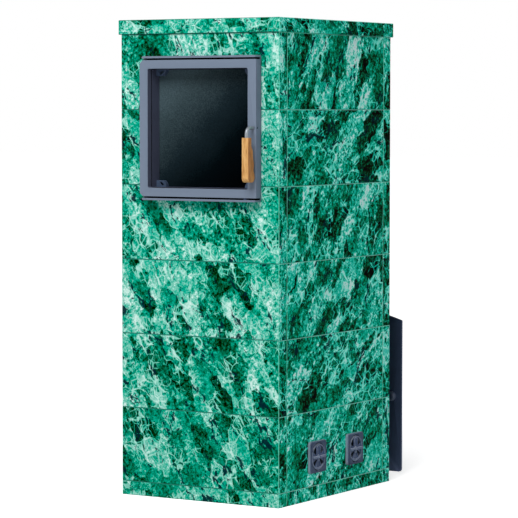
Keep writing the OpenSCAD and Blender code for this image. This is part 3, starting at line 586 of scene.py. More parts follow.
@dataclass(frozen=True)
class StoveGlass:
    """Ceramic stove glass, smoked by use.

    The pane is clear enough to see the dark tray behind it a little. A film of fine ash on its inner side
    and a painted sheen, which stands in for a reflection, grey it from the upper left corner down to the
    right; the ash shows as faint dark and pale specks.
    """

    name: str = "smoked_ceramic_glass"
    clean: str = "#000103"
    painted_sheen_and_film: tuple[str, str, str, str] = ("#020a0e", "#17242a", "#3c4c51", "#52656c")
    tint: str = "#1a2226"
    speck: float = 2.2 * MM  # width of a speck of ash
    origin: Point = (-0.118, 0.0, 1.02)  # corner that the film and the painted sheen are thickest at
    reach: float = 0.50  # way from there to clean glass, in metres
    film: float = 0.90  # how much of the pane's look is its film and painted sheen

    def build(self) -> Material:
        """Builds the material under its own name.

        Returns:
            The material.
        """
        net = Net(bpy.data.materials.new(self.name))
        place = net.place()
        away = net.add("VectorMath", {0: place, 1: self.origin}, operation="SUBTRACT").outputs[0]
        slant = net.add("VectorMath", {0: away, 1: (1.0, 0.0, -1.0)}, operation="DOT_PRODUCT").outputs[1]
        specks = net.noise(place, 1 / self.speck, 2.0, 0.7)
        cloud = net.noise(place, 9.0, 3.0)
        film = net.math("SUBTRACT", 1.0, net.math("DIVIDE", slant, self.reach), clamp=True)
        film = net.math("MULTIPLY_ADD", net.math("SUBTRACT", cloud, 0.5), 0.2, film)
        dust = net.math("MULTIPLY", net.math("SUBTRACT", specks, 0.5), net.math("MULTIPLY", film, 0.7))
        # The greys rise towards the corner, partly as ash and partly as a painted reflection.
        colour = net.ramp(net.math("ADD", film, dust), [
            (0.04, linear(self.clean)),
            *((level, linear(shade)) for level, shade in zip((0.26, 0.50, 0.74, 0.95), self.painted_sheen_and_film)),
        ])
        coat = net.add("BsdfPrincipled", {
            "Base Color": colour, "Roughness": net.fit(film, target=(0.10, 0.35)), "IOR": 1.5,
            "Specular IOR Level": 0.006,
        })
        clear = net.add("BsdfPrincipled", {
            "Base Color": linear(self.tint), "Roughness": 0.02, "IOR": 1.05, "Transmission Weight": 1.0,
        })
        return net.close(net.add("MixShader", {0: self.film, 1: clear.outputs[0], 2: coat.outputs[0]}))


@dataclass(frozen=True)
class RopeSeal:
    """Braided glass-fibre rope, glued in as a heat-proof seal.

    Plaited strands cross at a slant, and the pale fibre is browned a little by heat.
    """

    name: str = "glass_fibre_rope"
    fibre: str = "#cdc6b6"
    gap: str = "#6f675a"
    strand: float = 3.2 * MM  # width of a strand

    def build(self) -> Material:
        """Builds the material under its own name.

        Returns:
            The material.
        """
        net = Net(bpy.data.materials.new(self.name))
        place = net.place()
        strands = []
        for turn in (45.0, -45.0):
            laid = net.add("Mapping", {"Vector": place, "Rotation": radians((turn, 0.0, turn))}).outputs[0]
            strands.append(net.add("TexWave", {
                "Vector": laid, "Scale": 1 / (self.strand * 20), "Distortion": 1.5, "Detail": 2.0,
                "Detail Scale": 30.0,
            }, bands_direction="Z").outputs[1])
        plait = net.math("MULTIPLY", *strands)
        return net.surface({
            "Base Color": net.ramp(plait, [(0.05, linear(self.gap)), (0.45, linear(self.fibre))]),
            "Roughness": 0.9, "Sheen Weight": 0.3, "Normal": net.bump(plait, 0.8, 0.8 * MM),
        })


class Finish(Enum):
    """Finishes that the pieces choose from."""

    STOVE_PAINT = Enamel("blue_grey_stove_paint")
    # Darker copy of the stove paint for the leaf's right side: painted shade.
    SIDE_PAINT = Enamel("blue_grey_paint_beside_marble", base="#63677f", worn_and_highlit="#747890")
    # Darker copy of the stove paint for the tray and the window's reveal: painted shade in the recess.
    TRAY_PAINT = Enamel("shaded_stove_paint", base="#4e5367", worn_and_highlit="#5a6075")
    # Near-black paint put where there is only shadow, in deep slots, gaps and openings: painted shadow.
    BLACK_GAP = Enamel("blackened_gap_paint", base="#020304", worn_and_highlit="#06080a", roughness=0.8, gloss=0.01)
    SLATE_PAINT = Enamel("slate_stove_paint", base="#233245", worn_and_highlit="#3d4a5e")
    # Slate paint with a painted floor bounce, paler towards the bottom.
    DUSTY_PAINT = Enamel("dusty_slate_paint", base="#202e47", worn_and_highlit="#3b4862", foot="#7888b2")
    VENT_IRON = CastIron("slate_painted_iron")
    # Paler than the plate's iron, with paler edges, so the spokes carry a painted highlight.
    WHEEL_IRON = CastIron("slate_painted_wheel_iron", base="#47587a", edge="#93a0b8", gloss=0.08)
    # Paler copy of the vent iron for the plates' forward and upper faces: painted light.
    VENT_SIDE = CastIron("rubbed_slate_iron", base="#64738f", edge="#b9c2d0", gloss=0.3)
    # Near-white iron for the top of the wheel's finger bar: a painted glint.
    VENT_RIM = CastIron("bared_slate_iron", base="#a3aec4", edge="#eef2f8", gloss=0.4)
    BOLT_IRON = CastIron("slate_painted_bolt_head", base="#1d2a40", edge="#7585a3", roughness=0.30, gloss=0.25)
    ROD_STEEL = BrightSteel("polished_rod_steel", base="#8f969e", roughness=0.30, metallic=0.35)
    RIVET_STEEL = BrightSteel("dulled_rivet_steel", base="#6a768e", roughness=0.4)
    BLACK_IRON = CastIron("blacked_iron", base="#151b25", edge="#36415a", gloss=0.1)
    CLIP_IRON = CastIron("blacked_clip_iron", base="#151e2e", edge="#52647f", gloss=0.14)
    GRATE_IRON = CastIron("bare_grate_iron", base="#2e2f31", edge="#4b4a49", roughness=0.6, gloss=0.2)
    INNER_STEEL = HeatedSteel("scaled_steel_plate")
    BRIGHT_STEEL = BrightSteel("bright_stainless")
    BEECH = Beech()
    # Darker copy of the beech for the grip's right side: painted shade.
    BEECH_SIDE = Beech("oiled_beech_side", light="#c5854c", mid="#ac6d38", dark="#854c20")
    STEAM_GLASS = StoveGlass()
    FIRE_GLASS = StoveGlass("sooted_fire_glass", painted_sheen_and_film=("#0b0a0a", "#191716", "#2a2623", "#37312c"),
                            origin=(-0.08, 0.0, 0.32), reach=0.30)
    ROPE = RopeSeal()


# Mesh tools

def pick_none() -> None:
    """Leaves edit mode and deselects everything."""
    if bpy.context.object and bpy.context.object.mode != "OBJECT":
        bpy.ops.object.mode_set(mode="OBJECT")
    bpy.ops.object.select_all(action="DESELECT")


def hold(piece: Piece) -> None:
    """Makes one object the only selected and the active one.

    Args:
        piece: The object.
    """
    pick_none()
    piece.select_set(True)
    bpy.context.view_layer.objects.active = piece


def dress(piece: Piece, material: Material) -> None:
    """Gives a piece or a CAD node one material."""
    piece.data.materials.clear()
    piece.data.materials.append(material)


def settle(piece: Piece, angle: float = SHARP) -> None:
    """Shades a piece smooth between soft edges and keeps its broad faces flat.

    Args:
        piece: The mesh to change.
        angle: Least angle in degrees between two faces for their edge to stay sharp.
    """
    hold(piece)
    bpy.ops.object.shade_smooth_by_angle(angle=math.radians(angle))
    level = piece.modifiers.new("flat_faces_stay_flat", "WEIGHTED_NORMAL")
    level.weight, level.keep_sharp = 100, True
    bpy.ops.object.modifier_apply(modifier=level.name)


@dataclass
class Easing:
    """A rounding of a piece's edges, as a press, a casting or a file leaves them."""

    width: float  # in metres
    segments: int = 2  # faces across the rounding
    joined: bool = True  # whether flat areas are first tried as single faces
    where: Callable[[Vector], bool] | None = None  # says from an edge's middle whether it is rounded
    shares: tuple[float, ...] = (1.0, 0.6, 0.35, 0.2)  # widths to try, over the full one
    volume_limit: float = 0.05  # most that a rounding may change the volume, as a share
    area_limits: Pair = (-0.15, 0.015)  # and the area
    reach_limit: float = 0.15 * MM  # and the box

    def round(self, piece: Piece, share: float, clamp: bool) -> None:
        """Rounds a piece's sharp edges and smooths its normals.

        Args:
            piece: The mesh to change.
            share: Width of the rounding over the full one.
            clamp: Whether a rounding stops where it meets its neighbour.
        """
        hold(piece)
        bevel = piece.modifiers.new("eased_edges", "BEVEL")
        bevel.width, bevel.segments, bevel.angle_limit = self.width * share, self.segments, math.radians(SHARP)
        bevel.limit_method, bevel.miter_outer, bevel.use_clamp_overlap = "ANGLE", "MITER_ARC", clamp
        if self.where:
            self._choose(piece.data)
            bevel.limit_method = "WEIGHT"
        bpy.ops.object.modifier_apply(modifier=bevel.name)
        settle(piece)

    def _choose(self, mesh: bpy.types.Mesh) -> None:
        """Marks the sharp edges that are rounded.

        Args:
            mesh: The mesh that the marks go on.
        """
        shape = bmesh.new()
        shape.from_mesh(mesh)
        rounded = shape.edges.layers.float.new("bevel_weight_edge")
        for edge in shape.edges:
            sharp = len(edge.link_faces) == 2 and edge.calc_face_angle() > math.radians(SHARP)
            edge[rounded] = float(sharp and self.where((edge.verts[0].co + edge.verts[1].co) / 2))
        shape.to_mesh(mesh)
        shape.free()

    def copy(self, source: Piece, name: str) -> Piece:
        """Copies a CAD node's shape and rounds its edges.

        A rounding that spoils the shape is taken back and tried again narrower.

        Args:
            source: The node.
            name: Name of the copy.

        Returns:
            The copy, at the origin.
        """
        volume, area, box, _ = form_of(source.data)
        for share in self.shares:
            for whole, clamp in ((self.joined, False), (not self.joined, False), (self.joined, True),
                                 (not self.joined, True)):
                piece = merged_copy(source, name, whole)
                self.round(piece, share, clamp)
                new_volume, new_area, new_box, faults = form_of(piece.data)
                reach = max(abs(a - b) for a, b in zip(box, new_box))
                if (abs(new_volume / volume - 1) < self.volume_limit and reach < self.reach_limit and faults == 0
                        and self.area_limits[0] < new_area / area - 1 < self.area_limits[1]):
                    log.info("eased %s by %.2f mm, %d faces", name, self.width * share / MM, len(piece.data.polygons))
                    return piece
                bpy.data.objects.remove(piece)
        piece = merged_copy(source, name, False)
        settle(piece)
        return piece


def form_of(mesh: bpy.types.Mesh) -> tuple[float, float, list[float], int]:
    """Measures a mesh.

    Args:
        mesh: The mesh to measure.

    Returns:
        Its volume, its drawn area, its box as six numbers, and its number of open or crowded edges.
    """
    mesh.calc_loop_triangles()
    area = sum(t.area for t in mesh.loop_triangles)
    shape = bmesh.new()
    shape.from_mesh(mesh)
    bmesh.ops.remove_doubles(shape, verts=shape.verts, dist=WELD)
    volume = shape.calc_volume(signed=True)
    box = [pick(v.co[k] for v in shape.verts) for k in range(3) for pick in (min, max)]
    faults = sum(1 for e in shape.edges if len(e.link_faces) != 2)
    shape.free()
    return volume, area, box, faults


def merged_copy(source: Piece, name: str, whole: bool) -> Piece:
    """Copies a CAD node's shape and joins its loose triangles.

    Args:
        source: The node.
        name: Name of the copy.
        whole: Whether flat areas become single faces.

    Returns:
        The copy, at the origin.
    """
    mesh = bpy.data.meshes.new(name)
    shape = bmesh.new()
    shape.from_mesh(source.data)
    bmesh.ops.remove_doubles(shape, verts=shape.verts, dist=WELD)
    if whole:
        bmesh.ops.dissolve_limit(shape, angle_limit=math.radians(FLAT), verts=shape.verts, edges=shape.edges)
    shape.to_mesh(mesh)
    shape.free()
    piece = bpy.data.objects.new(name, mesh)
    bpy.context.scene.collection.objects.link(piece)
    return piece


def begin(name: str, radius: float, place: Point, turn: Point, sides: int, filled: bool = True) -> Piece:
    """Starts a swept piece with a ring and leaves it selected in edit mode.

    Args:
        name: Name of the piece.
        radius: Radius of the ring in millimetres.
        place: Centre of the ring in millimetres.
        turn: Angles in degrees that turn the ring's axis from upright.
        sides: Number of its corners.
        filled: Whether the ring is closed by a face.

    Returns:
        The new object, at the origin.
    """
    pick_none()
    bpy.ops.mesh.primitive_circle_add(
        vertices=sides, radius=radius * MM, fill_type="NGON" if filled else "NOTHING",
        location=metres(place), rotation=radians(turn))
    piece = bpy.context.object
    piece.name = piece.data.name = name
    bpy.ops.object.transform_apply(location=True, rotation=True, scale=True)
    bpy.ops.object.mode_set(mode="EDIT")
    bpy.ops.mesh.select_all(action="SELECT")
    return piece


def push(way: Point, scale: float = 1.0) -> None:
    """Extrudes the selected end of a piece.

    Args:
        way: How far it goes, in millimetres.
        scale: Its new width as a share of the old.
    """
    bpy.ops.mesh.extrude_region_move(TRANSFORM_OT_translate={"value": metres(way)})
    if scale != 1.0:
        bpy.ops.transform.resize(value=(scale,) * 3)


def bend(centre: Point, axis: Point, steps: int = 8) -> None:
    """Spins the selected end of a piece a quarter turn about an axis through a point in millimetres."""
    bpy.ops.mesh.spin(steps=steps, angle=math.pi / 2, center=metres(centre), axis=axis)


def end(piece: Piece, angle: float = SHARP) -> Piece:
    """Closes a swept piece: joins doubled points, turns its faces outward and smooths it.

    Args:
        piece: The piece.
        angle: Least angle in degrees between two faces for their edge to stay sharp.

    Returns:
        The same piece.
    """
    bpy.ops.mesh.select_all(action="SELECT")
    bpy.ops.mesh.remove_doubles(threshold=WELD / 2)
    bpy.ops.mesh.normals_make_consistent(inside=False)
    bpy.ops.object.mode_set(mode="OBJECT")
    settle(piece, angle)
    log.info("made %s, %d faces", piece.name, len(piece.data.polygons))
    return piece


def turned(name: str, place: Point, turn: Point, profile: list[Pair], sides: int) -> Piece:
    """Makes a piece as on a lathe.

    Args:
        name: Name of the piece.
        place: Foot of its axis, in millimetres.
        turn: Angles in degrees that turn the axis from upright.
        profile: Distance along the axis and radius of each ring, in millimetres.
        sides: Number of its sides.

    Returns:
        The piece, at the origin.
    """
    axis = Vector((0.0, 0.0, 1.0))
    axis.rotate(Euler(radians(turn)))
    piece = begin(name, profile[0][1], tuple(Vector(place) + axis * profile[0][0]), turn, sides)
    for (low, wide), (high, narrow) in zip(profile, profile[1:]):
        push(tuple(axis * (high - low)), narrow / wide)
    return end(piece)


def join(name: str, pieces: list[Piece]) -> Piece:
    """Joins pieces of one node into one object.

    Args:
        name: Its name.
        pieces: The pieces, of which the first is kept.

    Returns:
        The joined piece.
    """
    hold(pieces[0])
    for piece in pieces:
        piece.select_set(True)
    bpy.ops.object.join()
    pieces[0].name = pieces[0].data.name = name
    return pieces[0]


def twin(piece: Piece, way: Point) -> Piece:
    """Copies a finished piece with a mesh of its own.

    Args:
        piece: The piece.
        way: How far the copy's mesh is moved, in millimetres.

    Returns:
        The copy, at the origin.
    """
    copy = piece.copy()
    copy.data = piece.data.copy()
    bpy.context.scene.collection.objects.link(copy)
    hold(copy)
    copy.location = metres(way)
    bpy.ops.object.transform_apply(location=True, rotation=True, scale=True)
    return copy


def box_in_mm(node: str) -> tuple[Vector, Vector]:
    """Returns the low and the high corner of a CAD node's box, in millimetres."""
    low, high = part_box(node)
    return low / MM, high / MM


# The stove

Eased = tuple[tuple[str, Finish, float], ...]  # nodes, their finishes and their edges' rounding in millimetres


@dataclass
class Assembly:
    """A group of pieces that is dressed together."""

    frame: dict
    finishes: dict[Finish, Material]
    eased: Eased = ()

    def keep(self, node: str, finish: Finish) -> None:
        """Dresses a CAD node whose own shape is right."""
        dress(self.frame["nodes"][node], self.finishes[finish])
        log.info("node %s in %s", node, finish.name)

    def stand_in(self, piece: Piece, node: str, finish: Finish) -> Piece:
        """Puts a new piece in the place of a CAD node, on the node's body, and hides the node.

        Args:
            piece: The new piece.
            node: Name of the node.
            finish: Its finish.

        Returns:
            The same piece.
        """
        record = self.frame["record"]
        dress(piece, self.finishes[finish])
        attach(piece, next(b for b, nodes in record["behaviour"]["bodies"].items() if node in nodes))
        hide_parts(node)
        log.info("piece %s in %s", piece.name, finish.name)
        return piece

    def recoat(self, piece: Piece, finish: Finish, inside: Callable[[Vector, Vector], bool]) -> None:
        """Gives some faces of a piece another finish.

        Args:
            piece: The piece.
            finish: The other finish.
            inside: Says from a face's centre and normal whether it gets the finish.
        """
        piece.data.materials.append(self.finishes[finish])
        number = len(piece.data.materials) - 1
        for face in piece.data.polygons:
            if inside(face.center, face.normal):
                face.material_index = number

    def soften(self, node: str, finish: Finish, width: float, **easing: object) -> Piece:
        """Puts a copy with edges rounded by a width in millimetres in a CAD node's place and returns it."""
        copy = Easing(width * MM, **easing).copy(self.frame["nodes"][node], "soft_" + node)
        return self.stand_in(copy, node, finish)

    def soften_all(self) -> dict[str, Piece]:
        """Softens all nodes of the table and returns their copies by node."""
        return {node: self.soften(node, finish, width) for node, finish, width in self.eased}


class Side(Enum):
    """Side of the casing that a slab faces, with the turn in degrees that lays its veins."""

    FRONT = (0.0, -28.0, 0.0)
    REAR = (0.0, 24.0, 0.0)
    RIGHT = (-42.0, 0.0, 0.0)
    LEFT = (34.0, 0.0, 0.0)
    TOP = (78.0, 20.0, 12.0)


@dataclass
class Casing(Assembly):
    """Marble slabs of the casing, each cut from its own stretch of the block, and the steel that holds them."""

    leans: dict = field(default_factory=lambda: {  # slant of each course's layers over the side's own
        Side.FRONT: (0.9, 1.2, 0.8, 1.1, 0.9, 0.7),
        Side.RIGHT: (1.1, 1.5, 0.9, 0.7, 1.5, 0.6),
        Side.REAR: (1.0, 0.8, 1.3, 0.9, 1.1, 0.7),
    })
    lifts: dict = field(default_factory=lambda: {"front_slab_5": 0.01, "cap_slab": -0.01})  # paler or darker
    stretch_gap: float = 7.0  # distance in the block between two sides, in metres

    def build(self) -> None:
        """Dresses every slab in its own marble."""
        for side, leans in self.leans.items():
            for course, lean in enumerate(leans, 1):
                self._dress(f"{side.name.lower()}_slab_{course}", side, course, lean)
        self._dress("left_slabs", Side.LEFT, 3)
        self._dress("cap_slab", Side.TOP, 2)
        self._dress("plinth_strips", Side.FRONT, 9)
        for node in ("base_plate", "corner_posts", "top_ring"):
            self.keep(node, Finish.INNER_STEEL)

    def _dress(self, node: str, side: Side, step: int, lean: float = 1.0) -> None:
        """Dresses one node.

        Args:
            node: Name of the node.
            side: Side that it faces.
            step: Number of its stretch of the block.
            lean: Slant of its layers, as a share of the side's own.
        """
        away = list(Side).index(side) * self.stretch_gap
        cut = {"drawn": 0.18, "dapple": 1.1, "crackle": 0.58} if side in (Side.FRONT, Side.TOP) else {
            "coarse": 1.2, "drawn": 0.36, "dapple": 1.3, "crackle": 0.62}
        finish = Marble(
            turn=tuple(angle * lean for angle in side.value),
            shift=(away + step * 1.37, step * 2.11, away - step * 0.73),
            lift=self.lifts.get(node, 0.0), joint=0.12 if side is Side.TOP else 0.40, **cut)
        dress(self.frame["nodes"][node], finish.build("polished_marble_" + node))
        log.info("slab %s", node)


@dataclass
class SteamPortal(Assembly):
    """Fixed frame of the steam door: collar, lips, duct, seal, pins and rest pad. Sizes are in millimetres."""

    lip: float = 4.48  # depth of the lips' pale edge
    gap: Pair = (1.2, 24.0)  # where the lips' inner sides lie in the door's shadow, from the front
    stop: float = 15.0  # what faces forward behind this depth lies in shadow
    rope: float = 8.0  # width of the rope
    squeezed: float = 0.875  # its thickness over its width
    corner: float = 7.0  # radius of its middle line in the corners
    edge: float = 0.5  # rounding of the portal
    eased: Eased = (("door_hinge_pins", Finish.BRIGHT_STEEL, 0.3), ("door_rest_pad", Finish.BLACK_IRON, 0.5))

    def build(self) -> None:
        """Builds the portal."""
        portal = self.soften("steam_portal", Finish.STOVE_PAINT, self.edge)
        low, high = box_in_mm("steam_portal")
        # Painted shadow: forward faces deep in the slot, and the lips' inner sides in the door's shadow, are painted
        # black.
        self.recoat(portal, Finish.BLACK_GAP, lambda at, n: (
            n.y < -0.5 and at.y / MM > low.y + self.stop) or (
            abs(n.z) > 0.5 and low.y + self.gap[0] < at.y / MM < low.y + self.gap[1]
            and low.z + self.lip < at.z / MM < high.z - self.lip))
        self.stand_in(self._rope_ring(), "door_seal", Finish.ROPE)
        self.soften_all()

    def _rope_ring(self) -> Piece:
        """Lays the rope seal as one ring in its groove round the duct.

        Returns:
            The ring.
        """
        low, high = box_in_mm("door_seal")
        half, corner = self.rope / 2, self.corner
        x_low, x_high, z_low, z_high = low.x + half, high.x - half, low.z + half, high.z - half
        y = (low.y + high.y) / 2
        ring = begin("rope_seal_ring", half, (x_low + corner, y, z_low), (0.0, 90.0, 0.0), 16, filled=False)
        bpy.ops.transform.resize(value=(1.0, self.squeezed, 1.0))
        wide, tall = x_high - x_low - 2 * corner, z_high - z_low - 2 * corner
        for way, centre in (
                ((wide, 0.0, 0.0), (x_high - corner, y, z_low + corner)),
                ((0.0, 0.0, tall), (x_high - corner, y, z_high - corner)),
                ((-wide, 0.0, 0.0), (x_low + corner, y, z_high - corner)),
                ((0.0, 0.0, -tall), (x_low + corner, y, z_low + corner))):
            push(way)
            bend(centre, (0.0, 1.0, 0.0))
        return end(ring, 60.0)


@dataclass
class SteamDoor(Assembly):
    """Leaf of the steam door with its deep tray, glass, gasket and corner clips. Sizes are in millimetres."""

    skin: float = 1.0  # depth of the leaf's front skin
    margin: float = 1.0  # how far the tray's shade reaches past its box
    flange: float = 8.0  # how far the leaf's upper and lower sides stand from the tray's box
    eased: Eased = (
        # The tray is dressed in the darker paint as painted shade.
        ("steam_door_frame", Finish.STOVE_PAINT, 0.8), ("glass_carrier", Finish.TRAY_PAINT, 0.35),
        ("steam_glass", Finish.STEAM_GLASS, 0.5), ("glass_gasket", Finish.ROPE, 0.3),
        ("glass_clips", Finish.CLIP_IRON, 0.5), ("clip_screws", Finish.BRIGHT_STEEL, 0.25),
    )

    def build(self) -> None:
        """Builds the door."""
        copies = self.soften_all()
        leaf, tray = copies["steam_door_frame"], copies["glass_carrier"]
        low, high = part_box("glass_carrier")
        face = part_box("steam_door_frame")[0].y
        skin, margin, flange = metres((self.skin, self.margin, self.flange))
        # The reveal walls inside the window take the darker paint: painted shade.
        self.recoat(leaf, Finish.TRAY_PAINT, lambda at, n: (
            abs(n.y) < 0.5 and at.y > face + skin
            and low.x - margin < at.x < high.x + margin and low.z - margin < at.z < high.z + margin))
        # Painted shadow: the leaf's upper and lower faces in the gap by the lips are painted black.
        self.recoat(leaf, Finish.BLACK_GAP, lambda at, n: abs(n.z) > 0.6 and at.y > face + 1.2 * skin and (
            at.z < low.z - flange or at.z > high.z + flange))
        # The leaf's faces that look right take the darker paint: painted shade.
        self.recoat(leaf, Finish.SIDE_PAINT, lambda at, n: n.x > 0.7 and at.x > high.x)
        # Painted shadow: the tray's front rim is painted black so that it shows no light.
        self.recoat(tray, Finish.BLACK_GAP, lambda at, n: n.y < -0.4 and at.y < low.y + skin)


@dataclass
class LeverHandle(Assembly):
    """Lever of the steam door: bush, screw, bent rod, latch finger and wooden grip. Sizes are in millimetres."""

    radius: float = 4.0  # of the rod
    bend_radius: float = 14.0  # of its middle line in the bend
    foot: float = 0.4  # bevel of its lower end
    spigot: float = 3.0  # radius of its thinner end, which holds the latch finger
    shoulder: float = 5.4  # length of the thinner end
    tip: float = 0.3  # bevel of the thinner end
    sides: int = 32  # faces round the rod
    steps: int = 16  # faces along its bend
    finger_edge: float = 0.4  # rounding of the latch finger
    grip_edge: float = 0.9  # rounding of the grip
    eased: Eased = (("lever_bush", Finish.INNER_STEEL, 0.3), ("bush_screw", Finish.BLACK_IRON, 0.2))

    def build(self) -> None:
        """Builds the lever."""
        self.soften_all()
        self.stand_in(self._rod(), "handle_rod", Finish.ROD_STEEL)
        self.soften("latch_finger", Finish.BRIGHT_STEEL, self.finger_edge)
        grip = self.soften("handle_grip", Finish.BEECH, self.grip_edge, segments=3)
        # The grip's faces that look right take the darker beech: painted shade.
        self.recoat(grip, Finish.BEECH_SIDE, lambda at, n: n.x > 0.62)

    def _rod(self) -> Piece:
        """Bends the rod from the grip's socket up and back into the bush.

        Returns:
            The rod.
        """
        low, high = box_in_mm("handle_rod")
        x, y, top = (low.x + high.x) / 2, low.y + self.radius, high.z - self.radius
        narrow = self.radius - self.foot
        rod = begin("bent_rod", narrow, (x, y, low.z), (0.0, 0.0, 0.0), self.sides)
        push((0.0, 0.0, self.foot), self.radius / narrow)
        push((0.0, 0.0, top - self.bend_radius - low.z - self.foot))
        bend((x, y + self.bend_radius, top - self.bend_radius), (1.0, 0.0, 0.0), self.steps)
        push((0.0, high.y - self.shoulder - y - self.bend_radius, 0.0))
        push((0.0, 0.0, 0.0), self.spigot / self.radius)
        push((0.0, self.shoulder - self.tip, 0.0))
        push((0.0, self.tip, 0.0), (self.spigot - self.tip) / self.spigot)
        return end(rod)


@dataclass
class Vents(Assembly):
    """Two turning air vents on the right side."""

    rims: Pair = (0.98, 0.86)  # how far the shadow goes in plate and wheel, over the wheel's radius
    floor: float = 0.3 * MM  # height of the plates' recessed floor over the wheel's back
    crest: float = 2.0 * MM  # height over the wheel's back that only the finger bar passes
    eased: Eased = (
        ("vent_plate_front", Finish.VENT_IRON, 0.9), ("vent_wheel_front", Finish.WHEEL_IRON, 0.5),
        ("vent_plate_rear", Finish.VENT_IRON, 0.9), ("vent_wheel_rear", Finish.WHEEL_IRON, 0.5),
        ("vent_rivets", Finish.RIVET_STEEL, 0.4),
    )

    def build(self) -> None:
        """Builds both vents."""
        copies = self.soften_all()
        for place in ("front", "rear"):
            plate, wheel = copies["vent_plate_" + place], copies["vent_wheel_" + place]
            low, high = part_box("vent_wheel_" + place)
            centre, reach = (low + high) / 2, (high.z - low.z) / 2
            for piece, rim in zip((plate, wheel), self.rims):
                # Painted shadow: the recessed floor and the inner walls inside the openings are painted black.
                self.recoat(piece, Finish.BLACK_GAP, lambda at, n, rim=rim: (
                    (abs(n.x) < 0.4 or at.x < low.x + self.floor) and at.x < low.x + self.crest
                    and math.hypot(at.y - centre.y, at.z - centre.z) < rim * reach))
            # The plate's faces that look forward or up take the paler iron: painted light.
            self.recoat(plate, Finish.VENT_SIDE, lambda at, n: n.y < -0.5 or n.z > 0.5)
            # The finger bar's upward faces take the painted glint.
            self.recoat(wheel, Finish.VENT_RIM, lambda at, n: n.z > 0.6 and at.x > low.x + self.crest)


@dataclass
class RearPortal(Assembly):
    """Rear plate with its bolts, fire door, lever and ash drawer. Sizes are in millimetres."""

    border: Point = (12.0, 30.0, 60.0)  # how far in the plate's outline reaches at sides, foot and arch
    head: float = 12.3  # radius of a bolt's head
    rim: float = 4.0  # straight height of the head under its dome
    dome: float = 8.0  # height of the dome
    shank: float = 5.0  # radius of the shank
    nut: float = 9.0  # radius of the nut over its corners
    nut_height: float = 6.0
    thread: float = 2.0  # length of the shank past the nut
    chamfers: Pair = (0.3, 0.8)  # of the head's underside, and of the shank and the nut
    nut_slope: float = 1.0  # how far the nut narrows over its chamfer
    sides: int = 48  # faces round a bolt
    plate_edge: float = 1.0  # rounding of the plate's outline
    eased: Eased = (
        ("fire_door", Finish.BLACK_IRON, 1.2), ("fire_door_glass", Finish.FIRE_GLASS, 0.5),
        ("fire_hinge_pins", Finish.BRIGHT_STEEL, 0.4), ("fire_lever", Finish.BRIGHT_STEEL, 0.6),
        ("ash_drawer", Finish.SLATE_PAINT, 0.8),
    )

    def build(self) -> None:
        """Builds the rear portal."""
        low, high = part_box("portal_plate")
        side, foot, arch = metres(self.border)
        plate = self.soften("portal_plate", Finish.SLATE_PAINT, self.plate_edge, joined=False, where=lambda at: (
            abs(at.x) > high.x - side or at.z < low.z + foot or at.z > high.z - arch))
        # Faces that look towards the casing or to the right take the painted floor bounce.
        self.recoat(plate, Finish.DUSTY_PAINT, lambda at, n: n.y < -0.3 or n.x > 0.6)
        self.stand_in(self._bolts(), "portal_bolts", Finish.BOLT_IRON)
        self.soften_all()

    def _bolts(self) -> Piece:
        """Turns the two domed bolts with their nuts, from the head's top to the shank's end.

        Returns:
            The bolts, as one piece.
        """
        low, high = box_in_mm("portal_bolts")
        place, back = (low.x + self.head, low.y, (low.z + high.z) / 2), (-90.0, 0.0, 0.0)
        length, under = high.y - low.y, self.dome + self.rim
        small, large = self.chamfers
        slopes = [math.radians(angle) for angle in range(84, -1, -12)]
        bolt = turned("domed_bolt", place, back, [
            *((self.dome * (1 - math.sin(slope)), self.head * math.cos(slope)) for slope in slopes),
            (under - small, self.head), (under, self.head - small), (under, self.shank),
            (length - large, self.shank), (length, self.shank - large),
        ], self.sides)
        top = length - self.thread
        nut = turned("bolt_nut", place, back, [
            (top - self.nut_height, self.nut), (top - large, self.nut), (top, self.nut - self.nut_slope),
        ], 6)
        bolt = join("domed_bolt", [bolt, nut])
        return join("domed_bolts", [bolt, twin(bolt, (high.x - low.x - 2 * self.head, 0.0, 0.0))])


@dataclass
class Hearth(Assembly):
    """Firebox and all that it stands on, holds and carries."""

    plates: tuple[str, ...] = (
        "firebox", "stove_legs", "baffle_plate", "fuel_tunnel", "stone_chamber", "smoke_channel",
    )
    eased: Eased = (("flue_collar", Finish.INNER_STEEL, 0.6), ("fire_grate", Finish.GRATE_IRON, 1.2))

    def build(self) -> None:
        """Dresses the hearth."""
        for node in self.plates:
            self.keep(node, Finish.INNER_STEEL)
        self.soften_all()


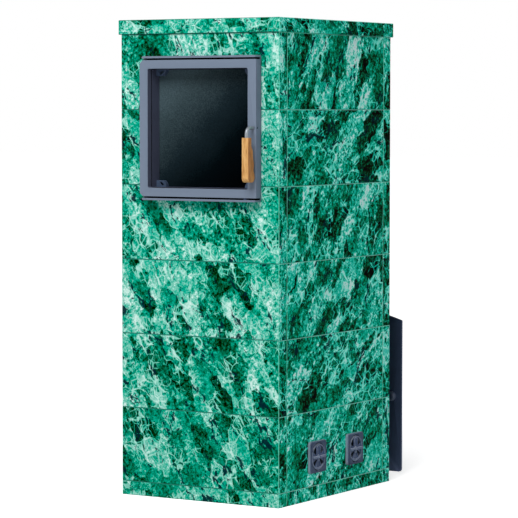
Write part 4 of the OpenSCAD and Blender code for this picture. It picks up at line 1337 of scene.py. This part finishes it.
@dataclass
class Studio:
    """Camera, floor, background and lamps. Sizes are in metres, angles in degrees."""

    camera_place: Point = (3.3261, -5.3821, 0.9248)
    azimuth: float = 31.70
    pitch: float = 3.28
    roll: float = -0.03
    lens: float = 180.07
    floor_half: float = 40.0
    shadow: Pair = (0.25, 1.4)  # how far from the middle the floor starts to turn white, and is white
    shadow_glow: float = 0.70  # glow of the floor under the stove
    soft_light: float = 0.12  # strength of the light from all round
    aim: Point = (0.0, 0.0, 0.6)  # where all lamps point
    lamps: tuple[tuple[str, Point, float, float], ...] = (  # name, place, side and power in watts
        ("key_softbox", (0.7, -4.0, 4.4), 2.8, 250.0),
        ("side_fill", (4.8, 0.2, 1.6), 2.6, 36.0),
        ("left_fill", (-3.6, -3.2, 1.4), 2.4, 24.0),
    )

    def build(self) -> None:
        """Sets up the whole studio."""
        self._camera()
        self._floor()
        self._world()
        for name, place, size, power in self.lamps:
            data = bpy.data.lights.new(name, "AREA")
            data.size, data.energy = size, power
            turn = (Vector(self.aim) - Vector(place)).to_track_quat("-Z", "Y").to_euler()
            self._put(bpy.data.objects.new(name, data), place, turn)
        bpy.context.scene.view_settings.view_transform = "Standard"

    @staticmethod
    def _put(thing: Piece, place: Point, turn: Euler) -> None:
        """Places a camera or a lamp and links it to the scene."""
        thing.location, thing.rotation_euler = place, turn
        bpy.context.scene.collection.objects.link(thing)

    def _camera(self) -> None:
        """Adds the camera at the photograph's angle."""
        data = bpy.data.cameras.new("camera")
        data.lens, data.sensor_width, data.clip_end = self.lens, 36.0, 200.0
        camera = bpy.data.objects.new("camera", data)
        self._put(camera, self.camera_place, Euler(radians((90 - self.pitch, self.roll, self.azimuth))))
        bpy.context.scene.camera = camera

    def _floor(self) -> None:
        """Adds a pale floor that keeps the stove's shadow and turns white away from it."""
        pick_none()
        bpy.ops.mesh.primitive_plane_add(size=2 * self.floor_half)
        floor = bpy.context.object
        floor.name = "studio_floor"
        net = Net(bpy.data.materials.new("pale_floor"))
        matt = net.add("BsdfDiffuse", {"Color": linear("#e6e6e6")})
        away = net.add("VectorMath", {0: net.place()}, operation="LENGTH").outputs[1]
        level = net.fit(away, self.shadow, (self.shadow_glow, 1.0))
        glow = net.add("Emission", {"Color": WHITE, "Strength": net.math("MULTIPLY", level, self._seen(net))})
        dress(floor, net.close(net.add("AddShader", {0: matt.outputs[0], 1: glow.outputs[0]})))

    @staticmethod
    def _seen(net: Net) -> Socket:
        """Adds the mask of rays that show the background itself: seen, mirrored or through glass.

        Args:
            net: The nodes to add to.

        Returns:
            1 for those rays and 0 for others.
        """
        ray = net.add("LightPath").outputs
        mirrored = net.math("MAXIMUM", ray["Is Glossy Ray"], ray["Is Transmission Ray"])
        return net.math("MAXIMUM", ray["Is Camera Ray"], mirrored)

    def _world(self) -> None:
        """Lights the stove evenly from all round and shows a white background."""
        bpy.context.scene.world = bpy.data.worlds.new("studio")
        net = Net(bpy.context.scene.world)
        white = net.add("Background", {"Color": WHITE, "Strength": 1.0})
        soft = net.add("Background", {"Color": linear("#eef2f6"), "Strength": self.soft_light})
        both = net.add("MixShader", {0: self._seen(net), 1: soft.outputs[0], 2: white.outputs[0]})
        net.close(both, "OutputWorld")


def main() -> None:
    """Builds the studio and the stove."""
    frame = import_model()
    Studio().build()
    finishes = {finish: finish.value.build() for finish in Finish}
    for part in (Casing, Hearth, SteamPortal, SteamDoor, LeverHandle, Vents, RearPortal):
        part(frame, finishes).build()


if __name__ == "__main__":
    main()
